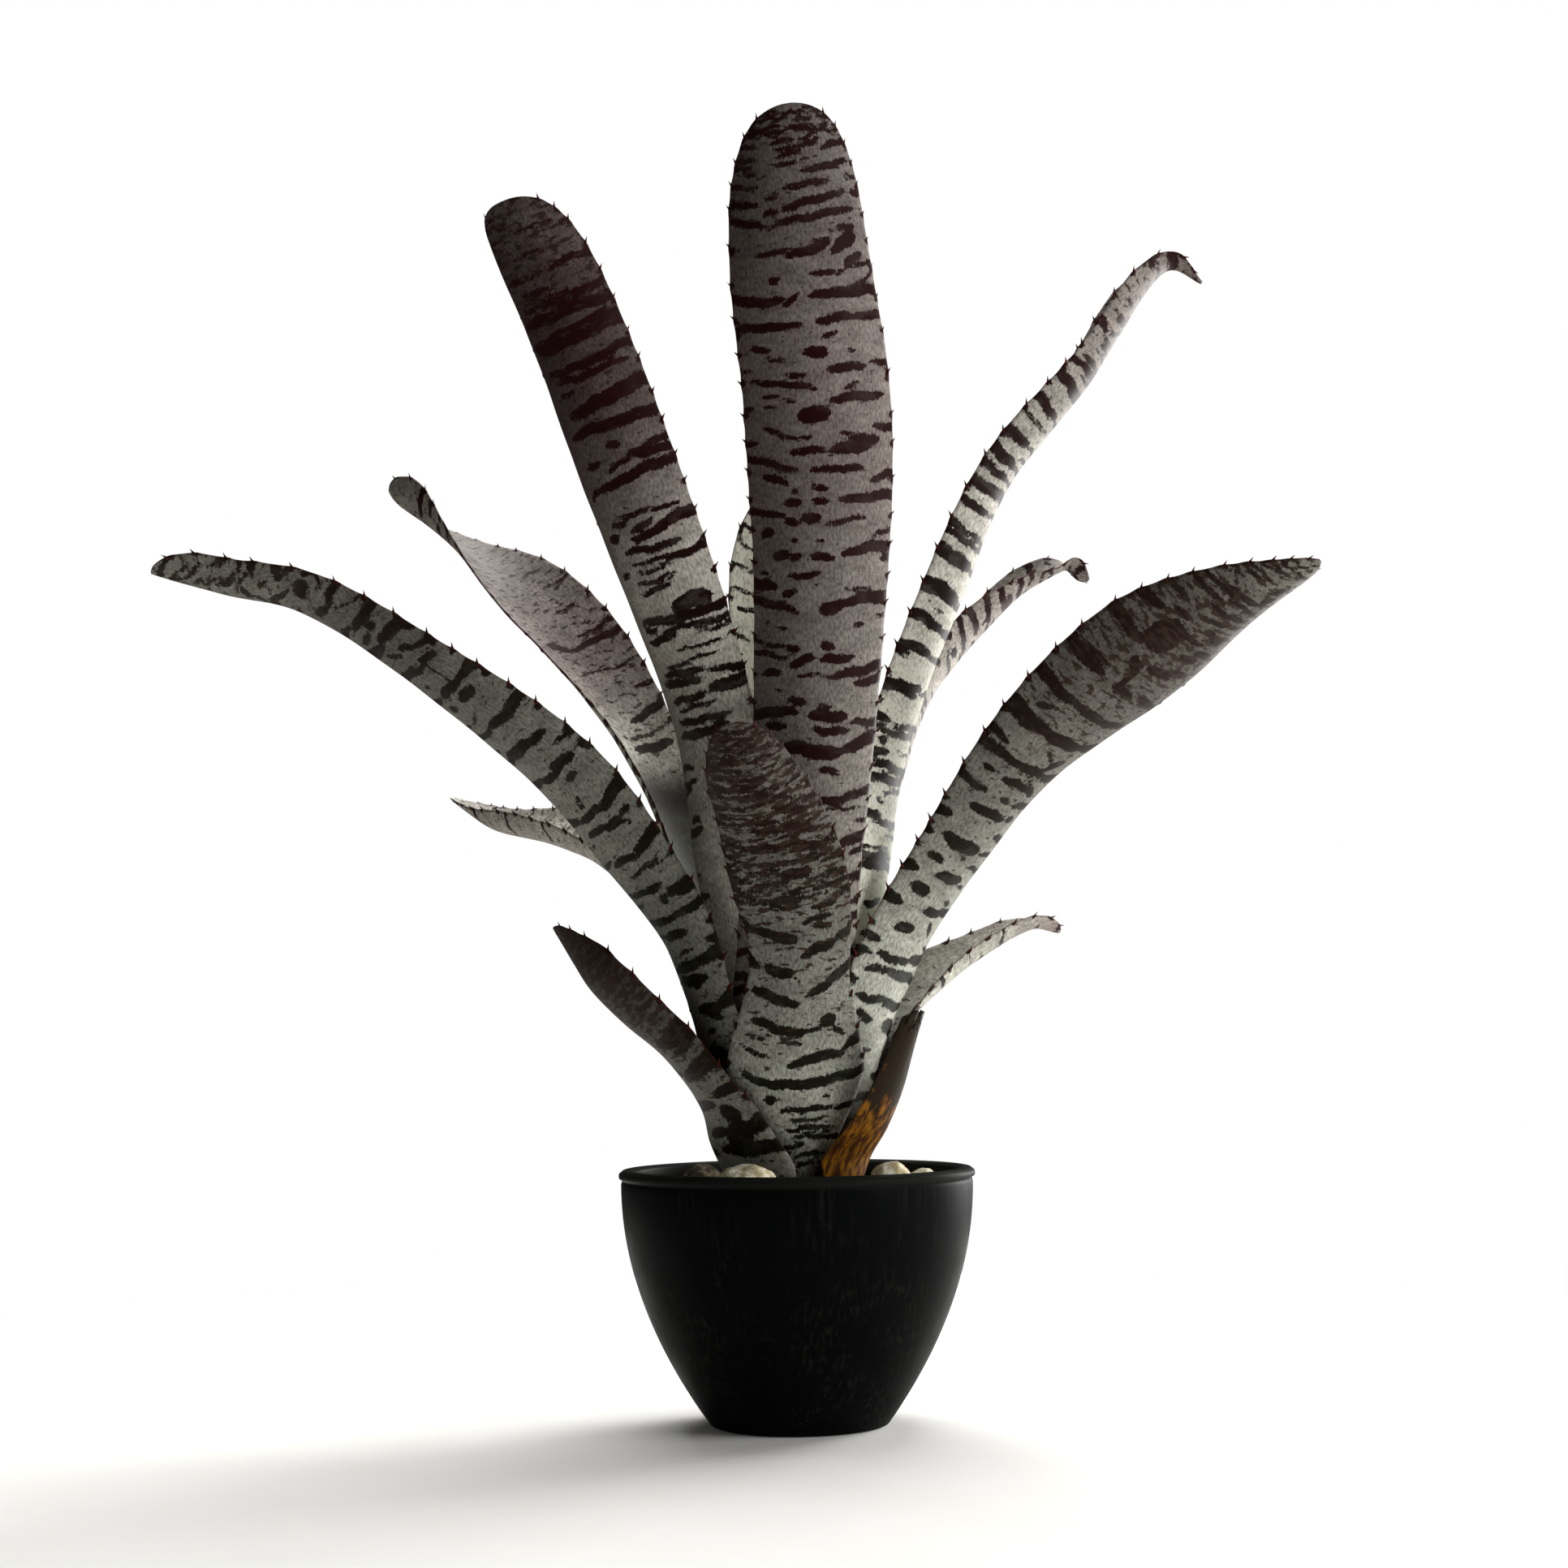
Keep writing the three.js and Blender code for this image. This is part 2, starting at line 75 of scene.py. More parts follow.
def linear_colour(hex_code: str) -> tuple[float, float, float, float]:
    """Turns an sRGB hex colour such as "#c9c8bd" into linear red, green, blue and an alpha of one."""
    parts = [int(hex_code[i:i + 2], 16) / 255 for i in (1, 3, 5)]
    linear = [p / 12.92 if p <= 0.04045 else ((p + 0.055) / 1.055) ** 2.4 for p in parts]
    return (*linear, 1.0)


def smooth(t: np.ndarray) -> np.ndarray:
    """Returns an even ease from 0 to 1 as t goes from 0 to 1."""
    t = np.clip(t, 0.0, 1.0)
    return t * t * (3 - 2 * t)


def along(values: tuple[float, ...], t: np.ndarray) -> np.ndarray:
    """Reads a smooth curve through evenly spaced values.

    Args:
        values: The values, at even steps of t from 0 to 1.
        t: Where to read, held to 0 to 1.

    Returns:
        The curve's value at each t.
    """
    knots = np.asarray(values, float)
    last = len(knots) - 1
    place = np.clip(t, 0.0, 1.0) * last
    span = np.minimum(np.floor(place).astype(int), last - 1)
    w = place - span
    start, end = knots[span], knots[span + 1]
    slope_in = (end - knots[np.maximum(span - 1, 0)]) / 2
    slope_out = (knots[np.minimum(span + 2, last)] - start) / 2
    square = (-3 * start + 3 * end - 2 * slope_in - slope_out) * w ** 2
    return start + slope_in * w + square + (2 * start - 2 * end + slope_in + slope_out) * w ** 3


@dataclass(frozen=True)
class Rosette:
    """Where the sheaths stand: layer 1 is the heart, layer 7 the outside."""

    outer_layer: int = 7
    outer_start_radius: float = 24.0
    start_radius_step: float = 3.2
    outer_start_height: float = 97.8
    start_height_step: float = 6.5
    inner_full_radius: float = 33.0
    full_radius_step: float = 3.4
    rise: float = 40.0

    def start_radius(self, layer: int) -> float:
        """Returns the radius at which a layer leaves the stem."""
        return self.outer_start_radius - (self.outer_layer - layer) * self.start_radius_step

    def start_height(self, layer: int) -> float:
        """Returns the height at which a layer leaves the stem."""
        return self.outer_start_height + (self.outer_layer - layer) * self.start_height_step

    def sheath_radius(self, layer: int, z: float) -> float:
        """Returns how far from the axis the middle of a layer's sheet stands at a height."""
        start = self.start_radius(layer)
        full = self.inner_full_radius + (layer - 1) * self.full_radius_step
        return start + (full - start) * (1 - math.exp(-(z - self.start_height(layer)) / self.rise))


ROSETTE = Rosette()


@dataclass(frozen=True)
class LeafForm:
    """The driving sizes of one leaf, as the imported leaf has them.

    midrib is [distance from the axis, height]. width (half), fold, twist and drift run evenly along
    the blade. tip is the length that narrows to the point, and how blunt that is.
    """

    name: str
    azimuth: float
    layer: int
    sheath_end: float
    midrib: tuple[tuple[float, float], ...]
    width: tuple[float, ...]
    fold: tuple[float, ...]
    twist: tuple[float, ...]
    drift: tuple[float, ...]
    tip: tuple[float, float]
    wrap: tuple[float, float] = (70.0, 62.0)


class Midrib:
    """A leaf's midrib as a centripetal Catmull-Rom curve, read by its length."""

    SHEATH_KNOTS = (0.0, 0.22, 0.5, 0.8)
    DIVISIONS = 40

    def __init__(self, form: LeafForm) -> None:
        """Places the points of a leaf's curve and measures it."""
        angle = math.radians(form.azimuth)
        self.out = np.array([math.sin(angle), -math.cos(angle), 0.0])
        side = np.array([math.cos(angle), math.sin(angle), 0.0])
        start = ROSETTE.start_height(form.layer)
        heights = [start + (form.sheath_end - start) * part for part in self.SHEATH_KNOTS]
        rows = [(ROSETTE.sheath_radius(form.layer, z), z, 0.0) for z in heights]
        steps = np.linspace(0, 1, len(form.midrib))
        drifts = along((0.0, *form.drift), steps)
        rows += [(r, z, drift) for (r, z), drift in zip(form.midrib, drifts)]
        self.points = np.array([r * self.out + z * UP + d * side for r, z, d in rows])
        self.parts = np.linspace(0, 1, self.DIVISIONS * (len(rows) - 1) + 1)
        steps = np.linalg.norm(np.diff(self._curve(self.parts), axis=0), axis=1)
        self.lengths = np.concatenate([[0.0], np.cumsum(steps)])
        self.total = float(self.lengths[-1])
        self.sheath = float(self.lengths[self.DIVISIONS * len(self.SHEATH_KNOTS)])

    def _curve(self, t: np.ndarray) -> np.ndarray:
        """Returns the curve's points at parts t of its spans."""
        points = self.points
        last = len(points) - 1
        ends = (2 * points[0] - points[1], 2 * points[-1] - points[-2])
        padded = np.vstack([ends[0], points, ends[1]])
        place = last * np.clip(t, 0, 1)
        span = np.minimum(np.floor(place).astype(int), last - 1)
        w = (place - span)[:, None]
        p0, p1, p2, p3 = (padded[span + i] for i in range(4))
        d0, d1, d2 = (((b - a) ** 2).sum(1)[:, None] ** 0.25 for a, b in ((p0, p1), (p1, p2), (p2, p3)))
        slope_in = ((p1 - p0) / d0 - (p2 - p0) / (d0 + d1) + (p2 - p1) / d1) * d1
        slope_out = ((p2 - p1) / d1 - (p3 - p1) / (d1 + d2) + (p3 - p2) / d2) * d1
        square = -3 * p1 + 3 * p2 - 2 * slope_in - slope_out
        return p1 + slope_in * w + square * w ** 2 + (2 * p1 - 2 * p2 + slope_in + slope_out) * w ** 3

    def at(self, length: np.ndarray) -> np.ndarray:
        """Returns the points at lengths along the midrib."""
        return self._curve(np.interp(length, self.lengths, self.parts))

    def tangent(self, length: np.ndarray) -> np.ndarray:
        """Returns the unit direction of growth at lengths along the midrib."""
        step = 0.05
        ahead = self.at(length + step) - self.at(length - step)
        return ahead / np.linalg.norm(ahead, axis=1)[:, None]


class LeafSurface:
    """The curled sheet of a leaf, read at lengths along its midrib and at u across it."""

    OPENING_BEFORE = 25.0
    OPENING_LENGTH = 75.0
    SHEATH_THICKNESS = 1.0
    BLADE_THICKNESS = 1.6
    MARGIN_THICKNESS = 0.9
    TIP_HALF_WIDTH = 1.2

    def __init__(self, form: LeafForm, midrib: Midrib, length: np.ndarray) -> None:
        """Works out the cross-sections.

        Args:
            form: The leaf's driving sizes.
            midrib: Its midrib.
            length: Lengths along the midrib at which the sheet has a section.
        """
        self.centre = midrib.at(length)
        beyond = length - midrib.sheath
        self.blade = beyond / (midrib.total - midrib.sheath)
        self.opening = smooth((beyond + self.OPENING_BEFORE) / self.OPENING_LENGTH)
        tangent = midrib.tangent(length)
        normal = UP * (1 - self.opening)[:, None] + tangent * self.opening[:, None]
        normal /= np.linalg.norm(normal, axis=1)[:, None]
        lean = np.arctan2(normal @ midrib.out, normal[:, 2])
        outward = np.cos(lean)[:, None] * midrib.out - np.sin(lean)[:, None] * UP
        across = np.cross(normal, outward)
        across /= np.linalg.norm(across, axis=1)[:, None]
        outward = np.cross(across, normal)
        twist = np.radians(along((0.0, *form.twist), self.blade))[:, None]
        self.across = across * np.cos(twist) - outward * np.sin(twist)
        self.outward = outward * np.cos(twist) + across * np.sin(twist)
        self.forward = normal
        self.half_width = self._half_width(form, midrib, length)
        width = along(form.width, self.blade)
        fold = np.radians(along(form.fold, self.blade))
        cup = 1 / (self.centre @ midrib.out)
        self.curl = cup + (fold / width - cup) * self.opening
        thin, thick = self.SHEATH_THICKNESS, self.BLADE_THICKNESS
        self.thickness = thin + (thick - thin) * self.opening

    def _half_width(self, form: LeafForm, midrib: Midrib, length: np.ndarray) -> np.ndarray:
        """Returns half the flat width of the sheet at each length."""
        start = ROSETTE.start_height(form.layer)
        radii = [ROSETTE.sheath_radius(form.layer, z) for z in (start, (start + form.sheath_end) / 2)]
        wraps = [math.radians(w) for w in form.wrap]
        sheath = (radii[0] * wraps[0], radii[1] * wraps[1], form.width[0])
        in_sheath = along(sheath, length / midrib.sheath)
        full = np.where(self.blade > 0, along(form.width, self.blade), in_sheath)
        tip_length, bluntness = form.tip
        narrowing = np.clip(1 - (midrib.total - length) / tip_length, 0, 1)
        full = full * (1 - narrowing ** bluntness) ** (1 / bluntness)
        return np.maximum(full, self.TIP_HALF_WIDTH)

    def points(self, u: np.ndarray, side: np.ndarray, proud: np.ndarray | float = 0.0) -> np.ndarray:
        """Places points on the sheet, one row for each section.

        Args:
            u: Place across the sheet, -1 to 1, for each column or for each point.
            side: 1 on the outer face, -1 on the inner face, 0 in the middle.
            proud: Extra height off the outer face, in millimetres.

        Returns:
            An array of sections by columns by three.
        """
        curl = self.curl[:, None]
        angle = u * self.half_width[:, None] * curl
        thickness = self.thickness[:, None]
        half = (thickness + (self.MARGIN_THICKNESS - thickness) * u ** 2) / 2
        lift = side * half + proud
        sideways = np.sin(angle) / curl + lift * np.sin(angle)
        inward = -(1 - np.cos(angle)) / curl + lift * np.cos(angle)
        middle = self.centre[:, None, :] + sideways[..., None] * self.across[:, None, :]
        return middle + inward[..., None] * self.outward[:, None, :]


@dataclass(frozen=True)
class Mark:
    """A dark cross mark where the silver scurf is missing.

    at is its middle's length along the leaf, left and right its ends as u, rise how much nearer the
    tip its right end lies than its left, and sag how much nearer the tip its ends lie than its middle.
    """

    at: float
    left: float
    right: float
    thick: float
    rise: float = 0.0
    sag: float = 0.0


@dataclass(frozen=True)
class Zone:
    """A stretch of a leaf that carries cross marks placed by a seeded rule.

    spacing is the pitch from row to row, cover the share of a row that is marked.
    """

    start: float
    end: float
    spacing: float
    thick: tuple[float, float]
    cover: float = 0.7
    rise: float = 0.0

    def marks(self, draw: random.Random) -> list[Mark]:
        """Draws the zone's marks from the leaf's own random numbers, row by row towards the tip."""
        made = []
        at = self.start
        while at < self.end:
            left = -1.1
            while left < 1.0:
                reach = draw.uniform(0.25, 1.1)
                thick = draw.uniform(*self.thick)
                lean = self.rise * reach / 2 + draw.uniform(-0.8, 0.8)
                middle = at + self.rise * (left + reach / 2) / 2 + draw.uniform(-0.25, 0.25) * self.spacing
                if draw.random() < self.cover:
                    made.append(Mark(middle, left, left + reach, thick, lean, draw.uniform(-0.8, 0.8)))
                left += reach + draw.uniform(0.02, 0.14)
            at += self.spacing * draw.uniform(0.75, 1.25)
        return made


@dataclass(frozen=True)
class Coat:
    """How a leaf is coloured. Every tuple runs evenly from the leaf's root to its tip.

    scurf is how thick the silver scurf lies (0 to 1), wear how much of it is rubbed off in patches,
    and hue goes from olive green (0) to maroon (1). Many scurf curves run darker towards a leaf's top
    and paler towards its base, partly as the coat thins to the tip and partly as painted shade at the
    top and painted light at the base. slant is painted side light: it gives the right side more scurf
    than the middle, so that side is painted paler as if lit from the right. Marks in rows are listed
    one by one, those of zones placed by rule. A row is [at, left, right, thick, rise, sag].
    """

    scurf: tuple[float, ...]
    hue: tuple[float, ...]
    rows: tuple[tuple[float, ...], ...] = ()
    zones: tuple[Zone, ...] = ()
    wear: tuple[float, ...] = (0.15, 0.1, 0.1)
    # Painted side light: more scurf on a leaf's right side, so that side is painted paler.
    painted_light_slant: tuple[float, ...] = (0.0, 0.0)
    inner_scurf: tuple[float, ...] = (0.9, 0.7, 0.5, 0.4)
    inner_rows: tuple[tuple[float, ...], ...] = ()
    inner_zones: tuple[Zone, ...] = (Zone(60, 480, 16.0, (0.7, 1.6), 0.3),)


@dataclass(frozen=True)
class SpineRow:
    """The spines along both margins of a blade.

    pitch is their real spacing, which closes up to tip_pitch, and spread how much it varies. starts
    holds each margin's side and the part of a pitch before its first spine. A spine stands length
    out of the margin and sunk deep in it. base, neck and point are its widths from the margin out,
    with the neck at foot of its length. It leans to the tip by lean for each unit out, is flattened
    to flatness of its width, and is smaller by shrink at the leaf's tip.
    """

    pitch: float = 14.0
    tip_pitch: float = 5.0
    spread: tuple[float, float] = (0.82, 1.18)
    starts: tuple[tuple[int, float], ...] = ((1, 0.5), (-1, 0.2))
    length: float = 3.2
    base: float = 3.8
    neck: float = 1.52
    point: float = 0.1
    lean: float = 0.8
    sunk: float = 0.7
    foot: float = 0.5
    flatness: float = 0.45
    shrink: float = 0.3
    sides: int = 6


@dataclass
class Leaf:
    """One leaf: a closed fine sheet with its spines, carrying its colour as point attributes."""

    # How deep in a mark a point in none counts as, and how far the inner face's noise is shifted.
    UNMARKED = -8.0
    INNER_SHIFT = 40.0
    COLOUR_LAYERS = ("mark", "scurf", "wear", "hue", "spine")

    form: LeafForm
    coat: Coat
    seed: int
    slot: str = "leaf"
    spines: SpineRow | None = field(default_factory=SpineRow)
    torn: float = 0.0
    spans: int = 32
    row_step: float = 1.6

    def __post_init__(self) -> None:
        """Measures the midrib and starts the leaf's own random numbers."""
        self.midrib = Midrib(self.form)
        self.draw = random.Random(self.seed)
        self.spine_places = self._spine_places()

    def _lengths(self) -> np.ndarray:
        """Returns the lengths of the sheet's rows, closer together where the tip rounds off."""
        tip_start = self.midrib.total - self.form.tip[0]
        body = np.linspace(0, tip_start, math.ceil(tip_start / self.row_step) + 1)
        rounds = np.linspace(0, math.pi / 2, math.ceil(self.form.tip[0] / self.row_step * 1.3) + 1)[1:]
        tip = tip_start + self.form.tip[0] * np.sin(rounds)
        return np.concatenate([[0.0], body, tip, [self.midrib.total]])

    def _spine_places(self) -> list[tuple[float, float]]:
        """Returns each spine's length along the leaf and its margin, -1 or 1."""
        row = self.spines
        if row is None:
            return []
        places = []
        last = self.midrib.total - 1.0
        for margin, offset in row.starts:
            at = self.midrib.sheath + row.pitch * offset
            while at < last:
                places.append((at, margin))
                left = (self.midrib.total - at) / self.form.tip[0]
                pitch = row.tip_pitch + (row.pitch - row.tip_pitch) * min(left, 1.0)
                at += pitch * self.draw.uniform(*row.spread)
        return places

    def _marks(self, rows: tuple[tuple[float, ...], ...], zones: tuple[Zone, ...]) -> list[Mark]:
        """Gathers the marks of one face.

        Args:
            rows: Its listed marks.
            zones: Its stretches of marks placed by rule.

        Returns:
            Those marks, and then the dark stain at the foot of each spine.
        """
        stain_start, stain_thick = 0.93, 3.6
        marks = [Mark(*row) for row in rows]
        marks += [mark for zone in zones for mark in zone.marks(self.draw)]
        for at, side in self.spine_places:
            ends = (stain_start, 1.0) if side > 0 else (-1.0, -stain_start)
            marks.append(Mark(at, *ends, stain_thick))
        return marks

    def _mark_depth(self, marks: list[Mark], length: np.ndarray, u: np.ndarray,
                    half_width: np.ndarray) -> np.ndarray:
        """Measures how deep each point lies in the nearest mark.

        Args:
            marks: The marks of one face.
            length: Length along the leaf of each point.
            u: Place across the leaf of each point.
            half_width: Half width of the leaf at each point.

        Returns:
            Depth in millimetres, negative outside every mark.
        """
        rim, overrun = 0.9, 0.4
        waves = ((0.6, 4), (0.4, 9), (0.3, 17))
        depth = np.full(u.shape, self.UNMARKED)
        for mark in marks:
            slope = (2 * u - mark.left - mark.right) / (mark.right - mark.left)
            phases = [self.draw.uniform(0, 2 * math.pi) for _ in waves]
            wander = sum(a * np.sin(u * f + p) for (a, f), p in zip(waves, phases))
            middle = mark.at + mark.rise * slope / 2 + mark.sag * slope ** 2 + wander
            left = mark.left - overrun * (mark.left <= -rim)
            right = mark.right + overrun * (mark.right >= rim)
            t = (2 * u - left - right) / (right - left)
            half = mark.thick / 2 * np.sqrt(np.clip(1 - np.abs(t) ** 3, 0, 1))
            inside = half - np.abs(length - middle)
            ends = (1 - np.abs(t)) * (right - left) / 2 * half_width
            depth = np.maximum(depth, np.minimum(inside, ends))
        return depth

    def build(self, material: bpy.types.Material) -> bpy.types.Object:
        """Returns the leaf's object, at the origin and in its material."""
        bm = bmesh.new()
        layers = {name: bm.verts.layers.float.new(name) for name in self.COLOUR_LAYERS}
        place_layer = bm.verts.layers.float_vector.new("place")
        self._add_sheet(bm, layers, place_layer)
        self._add_spines(bm, layers, place_layer)
        bmesh.ops.recalc_face_normals(bm, faces=bm.faces)
        return finished(bm, self.form.name + "_blade", material)

    def _add_sheet(self, bm: bmesh.types.BMesh, layers: dict, place_layer: object) -> None:
        """Bends a flat grid into the closed sheet and colours its points.

        Args:
            bm: The mesh being made.
            layers: Its float layers by name.
            place_layer: Its layer for the place on the leaf.
        """
        lengths = self._lengths()
        surface = LeafSurface(self.form, self.midrib, lengths)
        steps = np.linspace(-1, 1, self.spans + 1)
        u = np.concatenate([steps, [1.0], steps[::-1], [-1.0], [-1.0]])
        side = np.concatenate([np.ones(self.spans + 1), [0.0], -np.ones(self.spans + 1), [0.0], [1.0]])
        margin = np.zeros(len(u))
        margin[self.spans + 1] = margin[-2] = 1.0

        closed = np.zeros(len(lengths))
        closed[1:-1] = 1.0
        u_grid = np.repeat(u[None, :], len(lengths), axis=0)
        bulge = self._margin_bulge(surface, lengths, u_grid, margin[None, :] * closed[:, None])
        side_grid = side[None, :] * closed[:, None]
        length_grid = np.repeat(lengths[:, None], len(u), axis=1)
        across = u_grid * surface.half_width[:, None]
        swell = self._swell(length_grid, across) * surface.opening[:, None]
        points = surface.points(u_grid * bulge, side_grid, swell)
        points += self._tear(surface, u_grid)[..., None] * surface.forward[:, None, :]

        inner = np.repeat((side < 0)[None, :], len(lengths), axis=0)
        rim_tint, edge_tint = 0.6, 0.12
        values = self._colours(surface, length_grid, u_grid, inner)
        tint = margin * rim_tint + (np.abs(u) == 1) * edge_tint
        values["spine"] = np.repeat(tint[None, :], len(lengths), axis=0)
        place = np.stack([across, length_grid, np.where(inner, self.INNER_SHIFT, 0.0)], axis=-1) * MM

        columns, rows = len(u) - 1, len(lengths) - 1
        spread = Matrix.Diagonal((columns, rows, 1, 1)) @ Matrix.Translation((0.5, 0.5, 0))
        bmesh.ops.create_grid(bm, x_segments=columns, y_segments=rows, size=0.5, matrix=spread)
        seam = []
        for vert in bm.verts:
            column, row = round(vert.co.x), round(vert.co.y)
            vert.co = points[row, column] * MM
            for name, layer in layers.items():
                vert[layer] = values[name][row, column]
            vert[place_layer] = place[row, column]
            if column in (0, columns) or row in (0, rows):
                seam.append(vert)
        bmesh.ops.remove_doubles(bm, verts=seam, dist=MERGE)

    def _colours(self, surface: LeafSurface, length: np.ndarray, u: np.ndarray,
                 inner: np.ndarray) -> dict[str, np.ndarray]:
        """Works out the marks and the coat at each point of the sheet.

        Args:
            surface: The leaf's sections.
            length: Length along the leaf of each point.
            u: Place across the leaf of each point.
            inner: Whether each point lies on the inner face.

        Returns:
            The values of each colour layer but the spines' own.
        """
        coat = self.coat
        half_width = np.repeat(surface.half_width[:, None], u.shape[1], axis=1)
        marks = {Face.OUTER: self._marks(coat.rows, coat.zones),
                 Face.INNER: self._marks(coat.inner_rows, coat.inner_zones)}
        depth = {face: self._mark_depth(marks[face], length, u, half_width) for face in Face}
        part = length / self.midrib.total
        # Each coat's scurf curve is partly painted shade towards the leaf's top and painted light towards
        # its base, as well as the coat's own thinning.
        scurf = np.where(inner, along(coat.inner_scurf, part), along(coat.scurf, part))
        return {
            "mark": np.where(inner, depth[Face.INNER], depth[Face.OUTER]),
            # The slant adds painted side light to the scurf layer: the right side of the leaf is painted
            # paler.
            "scurf": scurf * (1 + along(coat.painted_light_slant, part) * u),
            "wear": along(coat.wear, part),
            "hue": along(coat.hue, part),
        }

    def _margin_bulge(self, surface: LeafSurface, lengths: np.ndarray, u: np.ndarray,
                      margin: np.ndarray) -> np.ndarray:
        """Gives how far the margin swells at each spine and rounds over between the faces.

        Args:
            surface: The leaf's sections.
            lengths: Their lengths along the leaf.
            u: Place across the leaf of each point.
            margin: One on the margin's own column, else zero.

        Returns:
            Factors on u.
        """
        tooth_height, tooth_width, rounding, band = 0.55, 2.6, 0.3, 0.4
        swell = np.zeros((2, len(lengths)))
        for at, side in self.spine_places:
            swell[int(side > 0)] += np.exp(-((lengths - at) / tooth_width) ** 2)
        near_margin = smooth((np.abs(u) - (1 - band)) / band)
        teeth = np.where(u > 0, swell[1][:, None], swell[0][:, None]) * tooth_height
        teeth -= tooth_height / 3
        return 1 + (teeth * near_margin + rounding * margin) / surface.half_width[:, None]

    def _swell(self, length: np.ndarray, across: np.ndarray) -> np.ndarray:
        """Returns the slight unevenness of the blade, in millimetres off the outer face."""
        long_height, short_height = 0.28, 0.1
        phase = self.seed * 1.7
        long_wave = np.sin(length / 13 + phase) * np.cos(across / 15 + phase)
        short_wave = np.sin(length / 5.3 + across / 11 + phase * 2)
        return long_height * long_wave + short_height * short_wave

    def _tear(self, surface: LeafSurface, u: np.ndarray) -> np.ndarray:
        """Returns how far a torn end is cut back or drawn out along the leaf."""
        torn_part = 0.28
        near_end = smooth((surface.blade - (1 - torn_part)) / torn_part)[:, None]
        waves = ((0.5, 7, 1), (0.3, 19, 2), (0.2, 43, 0))
        jagged = sum(np.sin(u * rate + phase) * height for height, rate, phase in waves)
        return self.torn * near_end * jagged

    def _add_spines(self, bm: bmesh.types.BMesh, layers: dict, place_layer: object) -> None:
        """Sinks a two-stage spine into the margin at each place.

        Args:
            bm: The mesh being made.
            layers: Its float layers by name.
            place_layer: Its layer for the place on the leaf.
        """
        if not self.spine_places:
            return
        step = 0.5
        at = np.array([length for length, _ in self.spine_places])
        surface = LeafSurface(self.form, self.midrib, at)
        ahead = LeafSurface(self.form, self.midrib, np.minimum(at + step, self.midrib.total))
        for i, (length, margin) in enumerate(self.spine_places):
            u = np.array([float(margin)])
            root = surface.points(u, np.zeros(1))[i, 0]
            growth = ahead.points(u, np.zeros(1))[i, 0] - root
            growth /= np.linalg.norm(growth)
            angle = margin * surface.half_width[i] * surface.curl[i]
            face = surface.outward[i] * math.cos(angle) + surface.across[i] * math.sin(angle)
            away = np.cross(growth, face) * margin
            away /= np.linalg.norm(away)
            shear = np.eye(3)
            shear[0, 2] = self.spines.lean
            placed = Matrix(np.column_stack([growth, face * self.spines.flatness, away]) @ shear).to_4x4()
            placed.translation = (root - away * self.spines.sunk) * MM
            for vert in self._add_spine(bm, placed, 1 - self.spines.shrink * length / self.midrib.total):
                vert[layers["spine"]] = 1.0
                vert[layers["mark"]] = self.UNMARKED
                vert[place_layer] = (0, length * MM, 0)

    def _add_spine(self, bm: bmesh.types.BMesh, placed: Matrix, scale: float) -> list[bmesh.types.BMVert]:
        """Adds one closed spine: a flared foot and a slender point that leans to the leaf's tip.

        Args:
            bm: The mesh being made.
            placed: Where its foot stands, with its directions.
            scale: Size against a full spine.

        Returns:
            The spine's points.
        """
        row = self.spines
        reach = (row.length * scale + row.sunk) * MM
        verts = []
        stages = ((0.0, row.foot, row.base, row.neck), (row.foot, 1.0, row.neck, row.point))
        for start, end, wide, narrow in stages:
            height = (end - start) * reach
            lift = Matrix.Translation((0, 0, start * reach + height / 2))
            verts += bmesh.ops.create_cone(
                bm, cap_ends=False, segments=row.sides, radius1=wide / 2 * scale * MM,
                radius2=narrow / 2 * scale * MM, depth=height, matrix=placed @ lift)["verts"]
        bmesh.ops.remove_doubles(bm, verts=verts, dist=MERGE)
        verts = [vert for vert in verts if vert.is_valid]
        rims = dict.fromkeys(edge for vert in verts for edge in vert.link_edges if edge.is_boundary)
        bmesh.ops.holes_fill(bm, edges=list(rims), sides=row.sides)
        return verts


def finished(bm: bmesh.types.BMesh, name: str, material: bpy.types.Material) -> bpy.types.Object:
    """Turns a finished mesh, which it frees, into a smooth-shaded object at the origin."""
    for face in bm.faces:
        face.smooth = True
    mesh = bpy.data.meshes.new(name)
    bm.to_mesh(mesh)
    bm.free()
    mesh.materials.append(material)
    piece = bpy.data.objects.new(name, mesh)
    bpy.context.scene.collection.objects.link(piece)
    return piece


def settle(piece: bpy.types.Object, node: str) -> None:
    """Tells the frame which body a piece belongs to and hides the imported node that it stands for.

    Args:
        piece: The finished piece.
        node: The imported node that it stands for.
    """
    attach(piece, BODY)
    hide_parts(node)
    LOG.info("%s: %d faces", piece.name, len(piece.data.polygons))


@dataclass(frozen=True)
class Grain:
    """A noise of real size: its grain in millimetres along each coordinate, and its finer octaves."""

    size: tuple[float, float, float]
    detail: float = 2.0


class Ramp(NamedTuple):
    """A smooth step: as its input goes from low to high, its output goes from first to last."""

    low: float
    high: float
    first: float = 0.0
    last: float = 1.0


def add_node(tree: bpy.types.NodeTree, kind: str, values: dict | tuple = (),
             **settings: object) -> bpy.types.Node:
    """Adds one shader node with its settings and links.

    Args:
        tree: The node tree.
        kind: The node's type, without its ShaderNode prefix.
        values: What its inputs get, by name, or in order over the inputs in use: a plain value, a
            socket, or a node whose first output in use is linked.
        settings: The node's own properties.

    Returns:
        The new node.
    """
    node = tree.nodes.new("ShaderNode" + kind)
    for key, value in settings.items():
        setattr(node, key, value)
    in_use = [socket for socket in node.inputs if socket.enabled]
    for key, value in values.items() if isinstance(values, dict) else enumerate(values):
        socket = node.inputs[key] if isinstance(key, str) else in_use[key]
        if isinstance(value, bpy.types.Node):
            value = next(output for output in value.outputs if output.enabled)
        if isinstance(value, bpy.types.NodeSocket):
            tree.links.new(value, socket)
        else:
            socket.default_value = value
    return node


